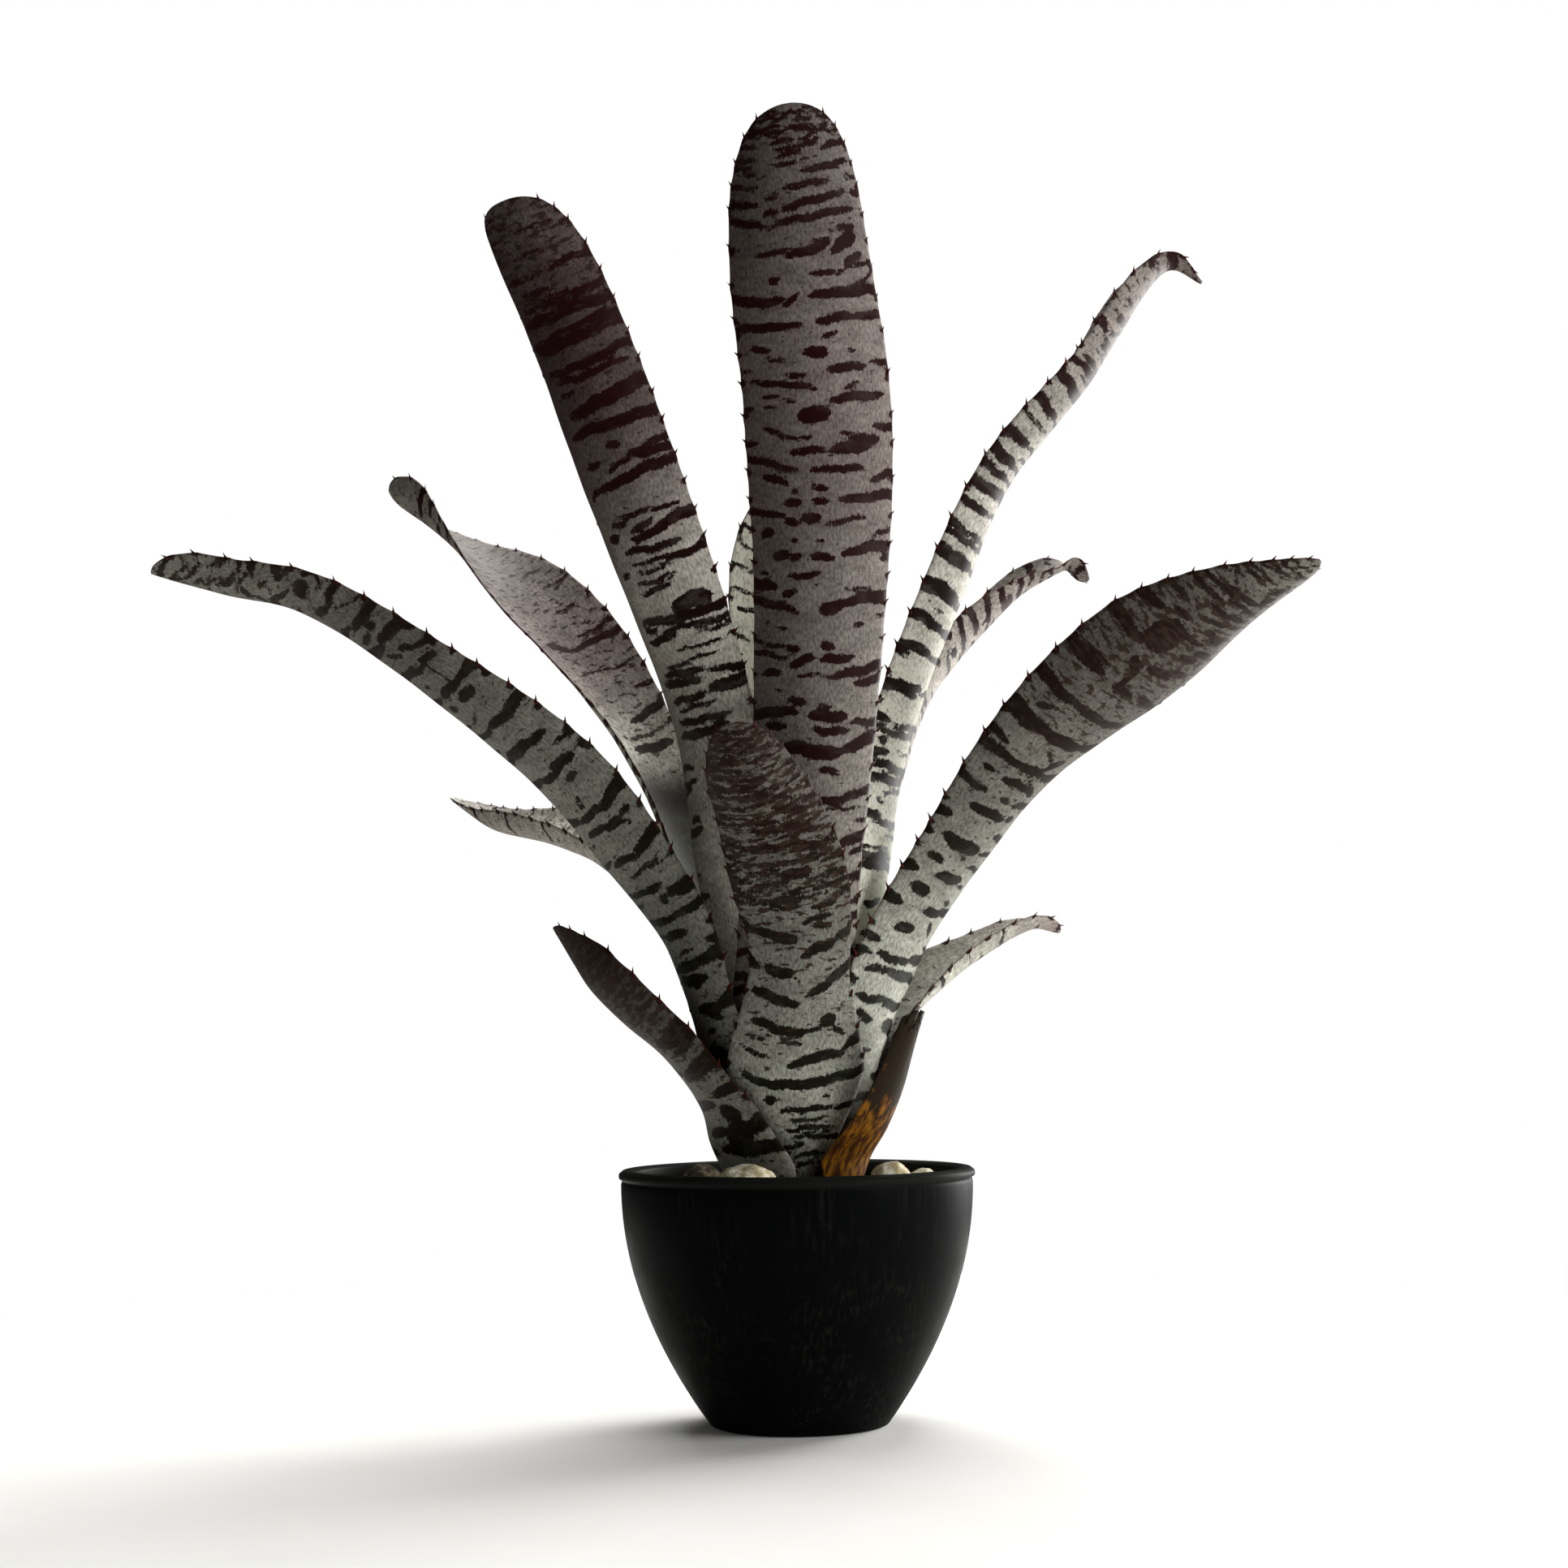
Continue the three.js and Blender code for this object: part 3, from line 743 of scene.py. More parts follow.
def start_material(name: str, grains: dict[str, Grain], place: str = "") -> tuple:
    """Starts a material with its noises.

    Args:
        name: The material's name.
        grains: Its noises by name.
        place: The point attribute that places the noises, or none for Object coordinates.

    Returns:
        The material, a function that adds a node to it, and its noise nodes by name.
    """
    material = bpy.data.materials.new(name)
    material.use_nodes = True
    material.node_tree.nodes.clear()
    node = partial(add_node, material.node_tree)
    if place:
        where = node("Attribute", attribute_name=place).outputs["Vector"]
    else:
        where = node("TexCoord").outputs["Object"]
    noises = {}
    for key, grain in grains.items():
        scale = tuple(1 / (size * MM) for size in grain.size)
        mapped = node("Mapping", {"Vector": where, "Scale": scale})
        noises[key] = node(
            "TexNoise", {"Vector": mapped, "Scale": 1.0, "Detail": grain.detail, "Roughness": 0.55})
    return material, node, noises


@dataclass(frozen=True)
class ScurfedLeaf:
    """Living bromeliad leaf: leathery skin under a matt coat of silver scales, bare in the marks.

    The coat is what the eye sees as pale grey. It is grainy, rubbed off in patches and specks, and
    the marks' edges are combed along the leaf because the scales stand in rows between its veins.
    comb_reach and wander_reach are the millimetres by which two noises push a mark's edge, and
    wear_reach is how much a leaf's wear widens its rubbed patches. Each Ramp turns one noise or
    sum into the share of the effect that it is named for.
    """

    name: str = "scurfed_leaf"
    olive: str = "#131208"
    maroon: str = "#230708"
    silver: str = "#dfe0d0"
    mauve_silver: str = "#cbc0b8"
    worn: str = "#2d1f17"
    spine: str = "#3a130d"
    comb_reach: float = 2.6
    wander_reach: float = 2.8
    bare: Ramp = Ramp(1.95, 2.55)
    fresh: Ramp = Ramp(0.34, 0.5, 0.92)
    wear_reach: float = 0.5
    rub: Ramp = Ramp(0.7, 0.78, 0.0, 0.95)
    speck: Ramp = Ramp(0.6, 0.72, 0.0, 0.6)
    scratch_width: float = 0.006
    scratch_breaks: Ramp = Ramp(0.56, 0.6, 0.0, 0.7)
    mottle: Ramp = Ramp(0.3, 0.7, 0.47, 1.08)
    cloud: Ramp = Ramp(0.3, 0.7, 0.78, 1.16)
    matt: Ramp = Ramp(0.1, 0.6, 0.55, 0.8)
    grain_relief: float = 0.4

    def build(self) -> bpy.types.Material:
        """Returns the material, which reads the leaf's own point attributes."""
        # Scales are 0.2 mm wide. The rows that comb the marks' edges are drawn twice that, to show.
        grains = {
            "comb": Grain((0.45, 2.6, 1.0)),
            "wander": Grain((2.4, 1.6, 2.4), 4.0),
            "patch": Grain((5.5, 2.4, 4.0), 5.0),
            "speck": Grain((0.7, 1.0, 0.7), 3.0),
            "mottle": Grain((1.1, 2.4, 1.1), 4.0),
            "cloud": Grain((14.0, 8.0, 9.0), 3.0),
            "scratch": Grain((9.0, 13.0, 9.0), 1.0),
        }
        material, node, noise = start_material(self.name, grains, "place")
        read = {name: node("Attribute", attribute_name=name).outputs["Fac"]
                for name in Leaf.COLOUR_LAYERS}
        edge = node("Math", (noise["comb"], self.comb_reach, read["mark"]), **SCALE_AND_ADD)
        edge = node("Math", (noise["wander"], self.wander_reach, edge), **SCALE_AND_ADD)
        bare = node("MapRange", (edge, *self.bare), **SOFT)
        rub = node("Math", (read["wear"], self.wear_reach, noise["patch"]), **SCALE_AND_ADD)
        rub = node("MapRange", (rub, *self.rub), **SOFT)
        speck = node("MapRange", (noise["speck"], *self.speck), **SOFT)
        scratch = node("Math", (noise["scratch"], NOISE_MIDDLE, self.scratch_width), operation="COMPARE")
        broken = node("MapRange", (noise["wander"], *self.scratch_breaks), **SOFT)
        scratch = node("Math", (scratch, broken), operation="MULTIPLY")
        fresh = node("MapRange", (noise["cloud"], *self.fresh), **SOFT)
        bare = node("Math", (bare, fresh), operation="MULTIPLY")
        for other in (rub, speck, scratch):
            bare = node("Math", (bare, other), operation="MAXIMUM")
        density = node("Math", (1.0, bare), operation="SUBTRACT")
        mottle = node("MapRange", (noise["mottle"], *self.mottle), **SOFT)
        cloud = node("MapRange", (noise["cloud"], *self.cloud), **SOFT)
        # The scurf layer carries painted side light and painted shade and light along the leaf, besides the
        # coat's own thickness.
        for other in (read["scurf"], mottle, cloud):
            density = node("Math", (density, other), operation="MULTIPLY")

        skin = node("Mix", (read["hue"], linear_colour(self.olive), linear_colour(self.maroon)), **COLOURS)
        skin = node("Mix", (rub, skin, linear_colour(self.worn)), **COLOURS)
        silvers = linear_colour(self.silver), linear_colour(self.mauve_silver)
        scales = node("Mix", (read["hue"], *silvers), **COLOURS)
        colour = node("Mix", (density, skin, scales), **COLOURS)
        colour = node("Mix", (read["spine"], colour, linear_colour(self.spine)), **COLOURS)
        height = node("Math", (noise["mottle"], self.grain_relief, density), **SCALE_AND_ADD)
        bump = node("Bump", {"Height": height, "Strength": 0.5, "Distance": 0.12 * MM})
        roughness = node("MapRange", (density, *self.matt), **SOFT)
        shader = node("BsdfPrincipled", {
            "Base Color": colour, "Roughness": roughness, "Normal": bump, "Specular IOR Level": 0.06})
        node("OutputMaterial", {"Surface": shader})
        return material


@dataclass(frozen=True)
class DryLeaf:
    """Dead bromeliad leaf base: papery amber tissue, streaked and nearly black at the torn end."""

    name: str = "dry_leaf"
    amber: str = "#8a5a10"
    rust: str = "#3c2210"
    char: str = "#241a0e"
    streaks: Ramp = Ramp(0.38, 0.58)
    blot_reach: float = 1.4
    streak_reach: float = 0.2
    charred: Ramp = Ramp(0.92, 1.12)

    def build(self) -> bpy.types.Material:
        """Returns the material, which reads the leaf's own point attributes."""
        grains = {
            "streak": Grain((3.0, 9.0, 3.0), 5.0),
            "blot": Grain((6.0, 10.0, 6.0), 5.0),
            "fibre": Grain((0.4, 16.0, 1.0)),
        }
        material, node, noise = start_material(self.name, grains, "place")
        char = node("Attribute", attribute_name="hue").outputs["Fac"]
        streak = node("MapRange", (noise["streak"], *self.streaks), **SOFT)
        colour = node("Mix", (streak, linear_colour(self.amber), linear_colour(self.rust)), **COLOURS)
        dark = node("Math", (noise["blot"], self.blot_reach, char), **SCALE_AND_ADD)
        dark = node("Math", (noise["streak"], self.streak_reach, dark), **SCALE_AND_ADD)
        dark = node("MapRange", (dark, *self.charred), **SOFT)
        colour = node("Mix", (dark, colour, linear_colour(self.char)), **COLOURS)
        bump = node("Bump", {"Height": noise["fibre"], "Strength": 0.7, "Distance": 0.3 * MM})
        shader = node("BsdfPrincipled", {
            "Base Color": colour, "Roughness": 0.6, "Normal": bump, "Specular IOR Level": 0.1})
        node("OutputMaterial", {"Surface": shader})
        return material


@dataclass(frozen=True)
class MouldedPot:
    """Black polypropylene, injection moulded: a satin skin with faint drawn streaks and pale scuffs, and a
    painted highlight on the lip.
    """

    name: str = "moulded_polypropylene"
    black: str = "#050606"
    chalk_and_lip_highlight: str = "#262722"
    # The lip ramp is a painted highlight: it paints the pot paler from 106.5 mm up to the rim, as if lit
    # from above, in the chalk colour.
    lip: Ramp = Ramp(106.5 * MM, 109.5 * MM, 0.0, 0.4)
    streaks: Ramp = Ramp(0.45, 0.75, 0.0, 0.5)
    chalky: Ramp = Ramp(0.4, 0.68)
    scuff_width: float = 0.002
    scuff_breaks: Ramp = Ramp(0.6, 0.64, 0.0, 0.8)
    dust: Ramp = Ramp(0.74, 0.8, 0.0, 0.6)
    satin: Ramp = Ramp(0.3, 0.7, 0.38, 0.52)
    streak_relief: float = 0.6

    def build(self) -> bpy.types.Material:
        """Returns the material, which reads Object coordinates."""
        grains = {
            "streak": Grain((1.8, 1.8, 60.0), 3.0),
            "cloud": Grain((26.0, 26.0, 34.0), 4.0),
            "texture": Grain((0.5, 0.5, 0.5)),
            "scuff": Grain((38.0, 38.0, 24.0), 1.0),
            "dust": Grain((0.9, 0.9, 0.9), 2.0),
        }
        material, node, noise = start_material(self.name, grains)
        height = node("SeparateXYZ", (node("TexCoord").outputs["Object"],)).outputs["Z"]
        lip = node("MapRange", (height, *self.lip), **SOFT)
        streak = node("MapRange", (noise["streak"], *self.streaks), **SOFT)
        cloud = node("MapRange", (noise["cloud"], *self.chalky), **SOFT)
        chalky = node("Math", (streak, cloud), operation="MULTIPLY")
        scuff = node("Math", (noise["scuff"], NOISE_MIDDLE, self.scuff_width), operation="COMPARE")
        gap = node("MapRange", (noise["cloud"], *self.scuff_breaks), **SOFT)
        scuff = node("Math", (scuff, gap), operation="MULTIPLY")
        dust = node("MapRange", (noise["dust"], *self.dust), **SOFT)
        # The lip's painted highlight joins the real scuffs and dust here.
        for other in (scuff, dust, lip):
            chalky = node("Math", (chalky, other), operation="MAXIMUM")
        colour = node("Mix", (chalky, linear_colour(self.black), linear_colour(self.chalk_and_lip_highlight)), **COLOURS)
        relief = node("Math", (noise["streak"], self.streak_relief, noise["texture"]), **SCALE_AND_ADD)
        bump = node("Bump", {"Height": relief, "Strength": 0.15, "Distance": 0.1 * MM})
        roughness = node("MapRange", (noise["cloud"], *self.satin), **SOFT)
        shader = node("BsdfPrincipled", {
            "Base Color": colour, "Roughness": roughness, "Normal": bump, "IOR": 1.49,
            "Specular IOR Level": 0.018})
        node("OutputMaterial", {"Surface": shader})
        return material


@dataclass(frozen=True)
class GroundMatter:
    """A rough natural body in two colours with pits, such as bark and peat, pebble or old stem."""

    name: str
    light: str
    dark: str
    grain: tuple[float, float, float]
    pit: float
    roughness: float
    relief: float
    tones: Ramp = Ramp(0.38, 0.62)
    pits: Ramp = Ramp(0.58, 0.7, 0.0, 0.8)

    def build(self) -> bpy.types.Material:
        """Returns the material, which reads Object coordinates."""
        grains = {"grain": Grain(self.grain, 4.0), "pits": Grain((self.pit,) * 3, 3.0)}
        material, node, noise = start_material(self.name, grains)
        light, dark = linear_colour(self.light), linear_colour(self.dark)
        share = node("MapRange", (noise["grain"], *self.tones), **SOFT)
        colour = node("Mix", (share, light, dark), **COLOURS)
        pitted = node("MapRange", (noise["pits"], *self.pits), **SOFT)
        colour = node("Mix", (pitted, colour, dark), **COLOURS)
        height = node("Math", (noise["pits"], -1.0, noise["grain"]), **SCALE_AND_ADD)
        bump = node("Bump", {"Height": height, "Strength": 0.8, "Distance": self.relief * MM})
        values = {"Base Color": colour, "Roughness": self.roughness, "Normal": bump}
        shader = node("BsdfPrincipled", values)
        node("OutputMaterial", {"Surface": shader})
        return material


@dataclass
class NurseryPot:
    """The bowed round pot with its rolled lip, turned from one outline."""

    height: float = 113.0
    foot_radius: float = 39.5
    shoulder_radius: float = 79.0
    shoulder_height: float = 107.0
    lip_radius: float = 80.0
    mouth_radius: float = 73.0
    wall: float = 4.0
    floor: float = 4.0
    segments: int = 192

    def radius(self, z: float) -> float:
        """Returns the outer radius of the bowed wall at a height."""
        t = z / self.shoulder_height
        return self.foot_radius + (self.shoulder_radius - self.foot_radius) * (2 * t - t * t)

    def outline(self) -> list[tuple[float, float]]:
        """Returns the wall's outline as radius and height, from the foot's middle and back to it."""
        recess, top = 0.7, self.height
        outside = [(self.radius(z), z) for z in np.linspace(5, 103, 26)]
        inside = [(self.radius(z) - self.wall, z) for z in np.linspace(101, 9, 24)]
        return [
            (0, recess), (self.foot_radius - 7, recess), (self.foot_radius - 7.6, 0),
            (self.foot_radius - 1.5, 0), (self.foot_radius + 0.4, 0.6), (self.foot_radius + 1.4, 2),
            *outside,
            (self.shoulder_radius, self.shoulder_height), (self.shoulder_radius - 0.6, 108.3),
            (self.lip_radius, 109.4), (self.lip_radius, 111.4), (self.lip_radius - 2, top),
            (self.mouth_radius + 1.4, top), (self.mouth_radius, 111.6), (self.mouth_radius, 106),
            (self.mouth_radius + 1.6, 103.5),
            *inside,
            (self.radius(self.floor) - self.wall - 2, self.floor), (0, self.floor),
        ]

    def build(self, material: bpy.types.Material) -> bpy.types.Object:
        """Returns the closed pot, spun from its outline."""
        return turned("nursery_pot", self.outline(), self.segments, material, rounding=0.45)


def turned(name: str, outline: list[tuple[float, float]], segments: int,
           material: bpy.types.Material, rounding: float = 0.0) -> bpy.types.Object:
    """Spins an outline that starts and ends on the axis into a closed body.

    Args:
        name: The object's name.
        outline: Radius and height of each point.
        segments: Steps of the full turn.
        material: The finish.
        rounding: Size of the bevel on the outline's corners.

    Returns:
        The new object.
    """
    bm = bmesh.new()
    verts = [bm.verts.new((radius * MM, 0, z * MM)) for radius, z in outline]
    for first, second in zip(verts, verts[1:]):
        bm.edges.new((first, second))
    if rounding:
        bmesh.ops.bevel(bm, geom=verts[1:-1], offset=rounding * MM, segments=2, profile=0.5,
                        affect="VERTICES", material=-1)
    bmesh.ops.spin(bm, geom=[*bm.verts, *bm.edges], cent=(0, 0, 0), axis=(0, 0, 1),
                   angle=2 * math.pi, steps=segments, use_merge=True)
    bmesh.ops.remove_doubles(bm, verts=bm.verts, dist=0.01 * MM)
    bmesh.ops.recalc_face_normals(bm, faces=bm.faces)
    return finished(bm, name, material)


@dataclass
class SoilBed:
    """Bark and peat that fills the pot, with loose chips of bark on its top."""

    pot: NurseryPot
    top: float = 97.5
    inset: float = 4.3
    bottom: float = 4.3
    stem_radius: float = 22.9
    rings: int = 44
    segments: int = 176
    chips: int = 150
    chip_spans: tuple[tuple[float, float], ...] = ((2, 5.5), (1.4, 3.2), (0.6, 1.4))
    chip_tilt: float = 0.35
    chip_wear: tuple[float, float] = (0.7, 1.15)
    seed: int = 3

    def build(self, material: bpy.types.Material) -> bpy.types.Object:
        """Returns the bed with its crumbs and chips."""
        edge = self.pot.radius(self.top) - self.inset
        sides = [(self.pot.radius(z) - self.inset, z) for z in (8, 32, 53, 77, self.top - 1)]
        tops = [(r, self.top) for r in np.linspace(edge, 1, self.rings)]
        outline = [(0, self.bottom), (self.pot.radius(self.bottom) - self.inset - 2.5, self.bottom),
                   *sides, *tops, (0, self.top)]
        bed = turned("soil_bed", outline, self.segments, material)
        bm = bmesh.new()
        bm.from_mesh(bed.data)
        self._crumble(bm)
        self._scatter(bm, edge)
        bm.to_mesh(bed.data)
        bm.free()
        return bed

    def _crumble(self, bm: bmesh.types.BMesh) -> None:
        """Raises crumbs and lumps on the bed's top."""
        crumb, crumb_height, lump, lump_height, deepest = 4.5, 0.8, 14.0, 0.9, -0.8
        for vert in bm.verts:
            if vert.co.z < (self.top - 0.5) * MM:
                continue
            place = vert.co / MM
            rough = noise.fractal(place / crumb, 0.8, 2.0, 3) * crumb_height
            rough += noise.noise(place / lump) * lump_height
            vert.co.z += max(rough, deepest) * MM

    def _scatter(self, bm: bmesh.types.BMesh, edge: float) -> None:
        """Lays bark chips on the bed, clear of the stem and of the top's edge radius."""
        draw = random.Random(self.seed)
        for _ in range(self.chips):
            angle = draw.uniform(0, 2 * math.pi)
            distance = draw.uniform(self.stem_radius + 4, edge - 5)
            size = Vector([draw.uniform(*span) for span in self.chip_spans])
            height = self.top + size.z * 0.6
            where = Vector((distance * math.cos(angle), distance * math.sin(angle), height))
            turn = Matrix.Rotation(draw.uniform(0, math.pi), 4, "Z")
            tilt = Matrix.Rotation(draw.uniform(-self.chip_tilt, self.chip_tilt), 4, "Y")
            placed = Matrix.Translation(where * MM) @ turn @ tilt @ Matrix.Diagonal((*(size * MM), 1))
            chip = bmesh.ops.create_icosphere(bm, subdivisions=1, radius=1.0, matrix=placed)
            centre = where * MM
            for vert in chip["verts"]:
                vert.co = centre + (vert.co - centre) * draw.uniform(*self.chip_wear)


@dataclass
class Pebble:
    """A worn stone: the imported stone's own form, rounded finer and pitted."""

    node: str
    cuts: int = 7
    rounds: int = 3
    lump: float = 6.0
    pit: float = 1.6
    relief: float = 0.45

    def build(self, material: bpy.types.Material) -> bpy.types.Object:
        """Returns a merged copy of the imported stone, refined, rounded and pitted."""
        bm = bmesh.new()
        bm.from_mesh(frame["nodes"][self.node].data)
        bmesh.ops.remove_doubles(bm, verts=bm.verts, dist=0.01 * MM)
        foot = min(vert.co.z for vert in bm.verts)
        bmesh.ops.subdivide_edges(bm, edges=bm.edges, cuts=self.cuts, use_grid_fill=True, smooth=0.7)
        for _ in range(self.rounds):
            bmesh.ops.smooth_vert(bm, verts=bm.verts, factor=0.5, use_axis_x=True, use_axis_y=True,
                                  use_axis_z=True)
        bm.normal_update()
        for vert in bm.verts:
            place = vert.co / MM
            rough = noise.fractal(place / self.lump, 1.0, 2.0, 4) + 0.5 * noise.noise(place / self.pit)
            vert.co += vert.normal * (rough * self.relief * MM)
        sunk = foot - min(vert.co.z for vert in bm.verts)
        bmesh.ops.translate(bm, verts=bm.verts, vec=(0, 0, sunk))
        bmesh.ops.recalc_face_normals(bm, faces=bm.faces)
        return finished(bm, self.node + "_worn", material)


@dataclass(frozen=True)
class Softbox:
    """One square soft light: its middle and side in millimetres, and its power in watts."""

    name: str
    place: tuple[float, float, float]
    size: float
    power: float

    def build(self, target: Vector) -> None:
        """Hangs the light so that it faces a target, in millimetres."""
        lamp = bpy.data.lights.new(self.name, "AREA")
        lamp.size = self.size * MM
        lamp.energy = self.power
        light = bpy.data.objects.new(self.name, lamp)
        light.location = Vector(self.place) * MM
        light.rotation_euler = (target - Vector(self.place)).to_track_quat("-Z", "Y").to_euler()
        bpy.context.scene.collection.objects.link(light)


@dataclass
class Studio:
    """Plain pale floor, soft lights and the camera at the photograph's angle."""

    lights: tuple[Softbox, ...] = (
        Softbox("side", (1100, -500, 420), 800, 13.0),
        Softbox("fill", (-900, -1100, 500), 900, 1.2),
        Softbox("rim", (900, 800, 350), 600, 22.0),
        Softbox("overhead", (0, 500, 1400), 1200, 34.0),
    )
    plant_middle: tuple[float, float, float] = (0, 0, 260)
    floor_radius: float = 700.0
    camera_distance: float = 1150.0
    camera_height: float = 173.4
    pitch: float = 5.62
    yaw: float = -0.18
    roll: float = -0.70
    lens: float = 58.07
    ambient: float = 0.07

    def build(self) -> None:
        """Sets the floor, the lights, the sky and the camera."""
        self._floor()
        self._sky()
        for light in self.lights:
            light.build(Vector(self.plant_middle))
        self._camera()
        bpy.context.scene.view_settings.view_transform = "Standard"

    def _floor(self) -> None:
        """Lays a plain pale disc under the pot."""
        material, node, noises = start_material("matt_pale_floor", {"cloud": Grain((60.0, 60.0, 60.0))})
        tones = linear_colour("#e9e7e2"), linear_colour("#efeeea")
        colour = node("Mix", (noises["cloud"], *tones), **COLOURS)
        shader = node("BsdfPrincipled", {"Base Color": colour, "Roughness": 0.8})
        node("OutputMaterial", {"Surface": shader})
        bm = bmesh.new()
        bmesh.ops.create_circle(bm, cap_ends=True, segments=160, radius=self.floor_radius * MM)
        finished(bm, "studio_floor", material)

    def _sky(self) -> None:
        """Puts an even white behind everything and a weaker even light around it."""
        world = bpy.data.worlds.new("studio_white")
        bpy.context.scene.world = world
        world.use_nodes = True
        world.node_tree.nodes.clear()
        node = partial(add_node, world.node_tree)
        seen = node("LightPath").outputs["Is Camera Ray"]
        strength = node("Math", (seen, 1 - self.ambient, self.ambient), **SCALE_AND_ADD)
        sky = node("Background", {"Color": (1, 1, 1, 1), "Strength": strength})
        node("OutputWorld", {"Surface": sky})

    def _camera(self) -> None:
        """Stands the camera where the photograph was taken from."""
        camera = bpy.data.objects.new("camera", bpy.data.cameras.new("camera"))
        camera.data.lens = self.lens
        camera.data.sensor_width = 36.0
        camera.data.clip_start = 0.01
        level = Matrix.Rotation(math.radians(90 + self.pitch), 4, "X")
        heading = Matrix.Rotation(-math.radians(self.yaw), 4, "Z")
        tilt = Matrix.Rotation(math.radians(self.roll), 4, "Z")
        stand = Matrix.Translation((0, -self.camera_distance * MM, self.camera_height * MM))
        camera.matrix_world = stand @ heading @ level @ tilt
        bpy.context.scene.collection.objects.link(camera)
        bpy.context.scene.camera = camera


FORMS = (
    LeafForm(
        "leaf_centre_tall", 2, 4, 200,
        ((44, 213), (53, 252), (58, 293), (64, 340), (70, 396), (78, 450), (88, 500), (100, 570)),
        (28, 31, 36, 32), (48, 48, 45, 54), (0, 4, 6), (8.5, 12.5, 0), (55, 2.2), (62, 58)),
    LeafForm(
        "leaf_left_tall", -52, 3, 205,
        ((38, 215), (45, 252), (50, 296), (67, 347), (88, 397), (108, 445), (131, 490), (154, 530)),
        (29, 33, 31, 28), (44, 50, 63, 66), (3, 22, 24), (-2.5, -3, 0), (50, 2.4)),
    LeafForm(
        "leaf_right_tall", 86, 3, 205,
        ((38, 215), (44, 252), (51, 296), (75, 362), (102, 423), (139, 469), (177, 522), (192, 515)),
        (31, 32, 28, 22), (37, 70, 65, 58), (0, 4, 11), (0, -2, 2), (45, 1.7), (66, 60)),
    LeafForm(
        "leaf_left_arching", -76, 5, 175,
        ((47, 185), (58, 214), (82, 246.6), (112, 282.4), (164, 324.6), (220, 360), (256, 368), (285, 376)),
        (34, 36, 29, 24), (50, 62, 56, 60), (12, 5, -4), (0, 3, -3), (30, 2.4)),
    LeafForm(
        "leaf_right_arching", 66, 5, 175,
        ((47, 185), (57, 212), (82, 250), (115, 287), (160, 321), (205, 348.6), (245, 368)),
        (33, 33, 38, 30), (50, 60, 44, 60), (-10, -28, -16), (17, 4, -2), (80, 1.6)),
    LeafForm(
        "leaf_front_short", 0, 6, 150,
        ((44, 156), (49, 186), (54, 216), (63, 238), (78, 257), (98, 276), (122, 300)),
        (33, 24, 26, 23, 19), (39, 44, 24, 40, 49), (0, 0, 0), (2, -8, -24), (45, 2), (12, 34)),
    LeafForm(
        "leaf_left_back", -118, 4, 200,
        ((43, 212), (66, 271), (97, 324), (124, 362), (153, 391), (190, 418), (228, 449)),
        (29, 33, 29, 20), (42, 37, 41, 47), (-1, -22, 42), (-4, 2, 0), (30, 2), (50, 50)),
    LeafForm(
        "leaf_left_back_low", -135, 6, 165,
        ((46, 176), (60, 202), (86, 230), (124, 256), (168, 270), (212, 280), (251, 298)),
        (29, 28, 26, 18), (38, 54, 72, 62), (-2, -6, 1), (0, 1, 0), (60, 1.7), (50, 50)),
    LeafForm(
        "leaf_left_low", -82, 7, 132,
        ((42, 139), (58, 162), (77, 179), (91, 193), (99, 206), (108, 222)),
        (44, 31, 27, 22), (50, 62, 62, 63), (0, 8, 6), (8, 5, -8), (45, 1.7), (85, 82)),
    LeafForm(
        "leaf_right_back", 135, 4, 200,
        ((43, 212), (54, 269), (69, 306), (89, 339), (116, 370), (137, 390), (151, 398.5), (158, 393)),
        (20, 25, 23, 15), (40, 58, 62, 50), (-6, -36, 12), (-7, -27, -50), (40, 1.9), (24, 24)),
    LeafForm(
        "leaf_right_back_low", 116, 6, 160,
        ((44, 168), (59, 184), (79, 198), (101, 211), (126, 222), (141, 220)),
        (28, 26, 19, 16), (37, 58, 54, 65), (6, -2, 0), (0, -2, 0), (40, 1.8), (50, 50)),
    LeafForm(
        "leaf_back", 180, 2, 205,
        ((34, 216), (37, 265), (40, 315), (44, 360), (51, 401), (60, 440), (68, 480)),
        (30, 29, 29, 24), (37, 50, 50, 60), (0, 0, 0), (0, 0, -43), (60, 1.7)),
    LeafForm(
        "leaf_heart", 150, 1, 190,
        ((28, 203), (29, 240), (30, 280), (33, 320)),
        (22, 20, 17, 12), (50, 60, 70, 70), (0, 0, 0), (0, 0, 0), (45, 1.8)),
    LeafForm(
        "leaf_dead_stub", 46, 7, 112,
        ((34, 117), (46, 131), (58, 147), (66, 163), (73, 178)),
        (16, 13, 10, 7), (29, 30, 40, 52), (0, 0, 0), (0, 0, 0), (4, 2), (27, 25)),
)
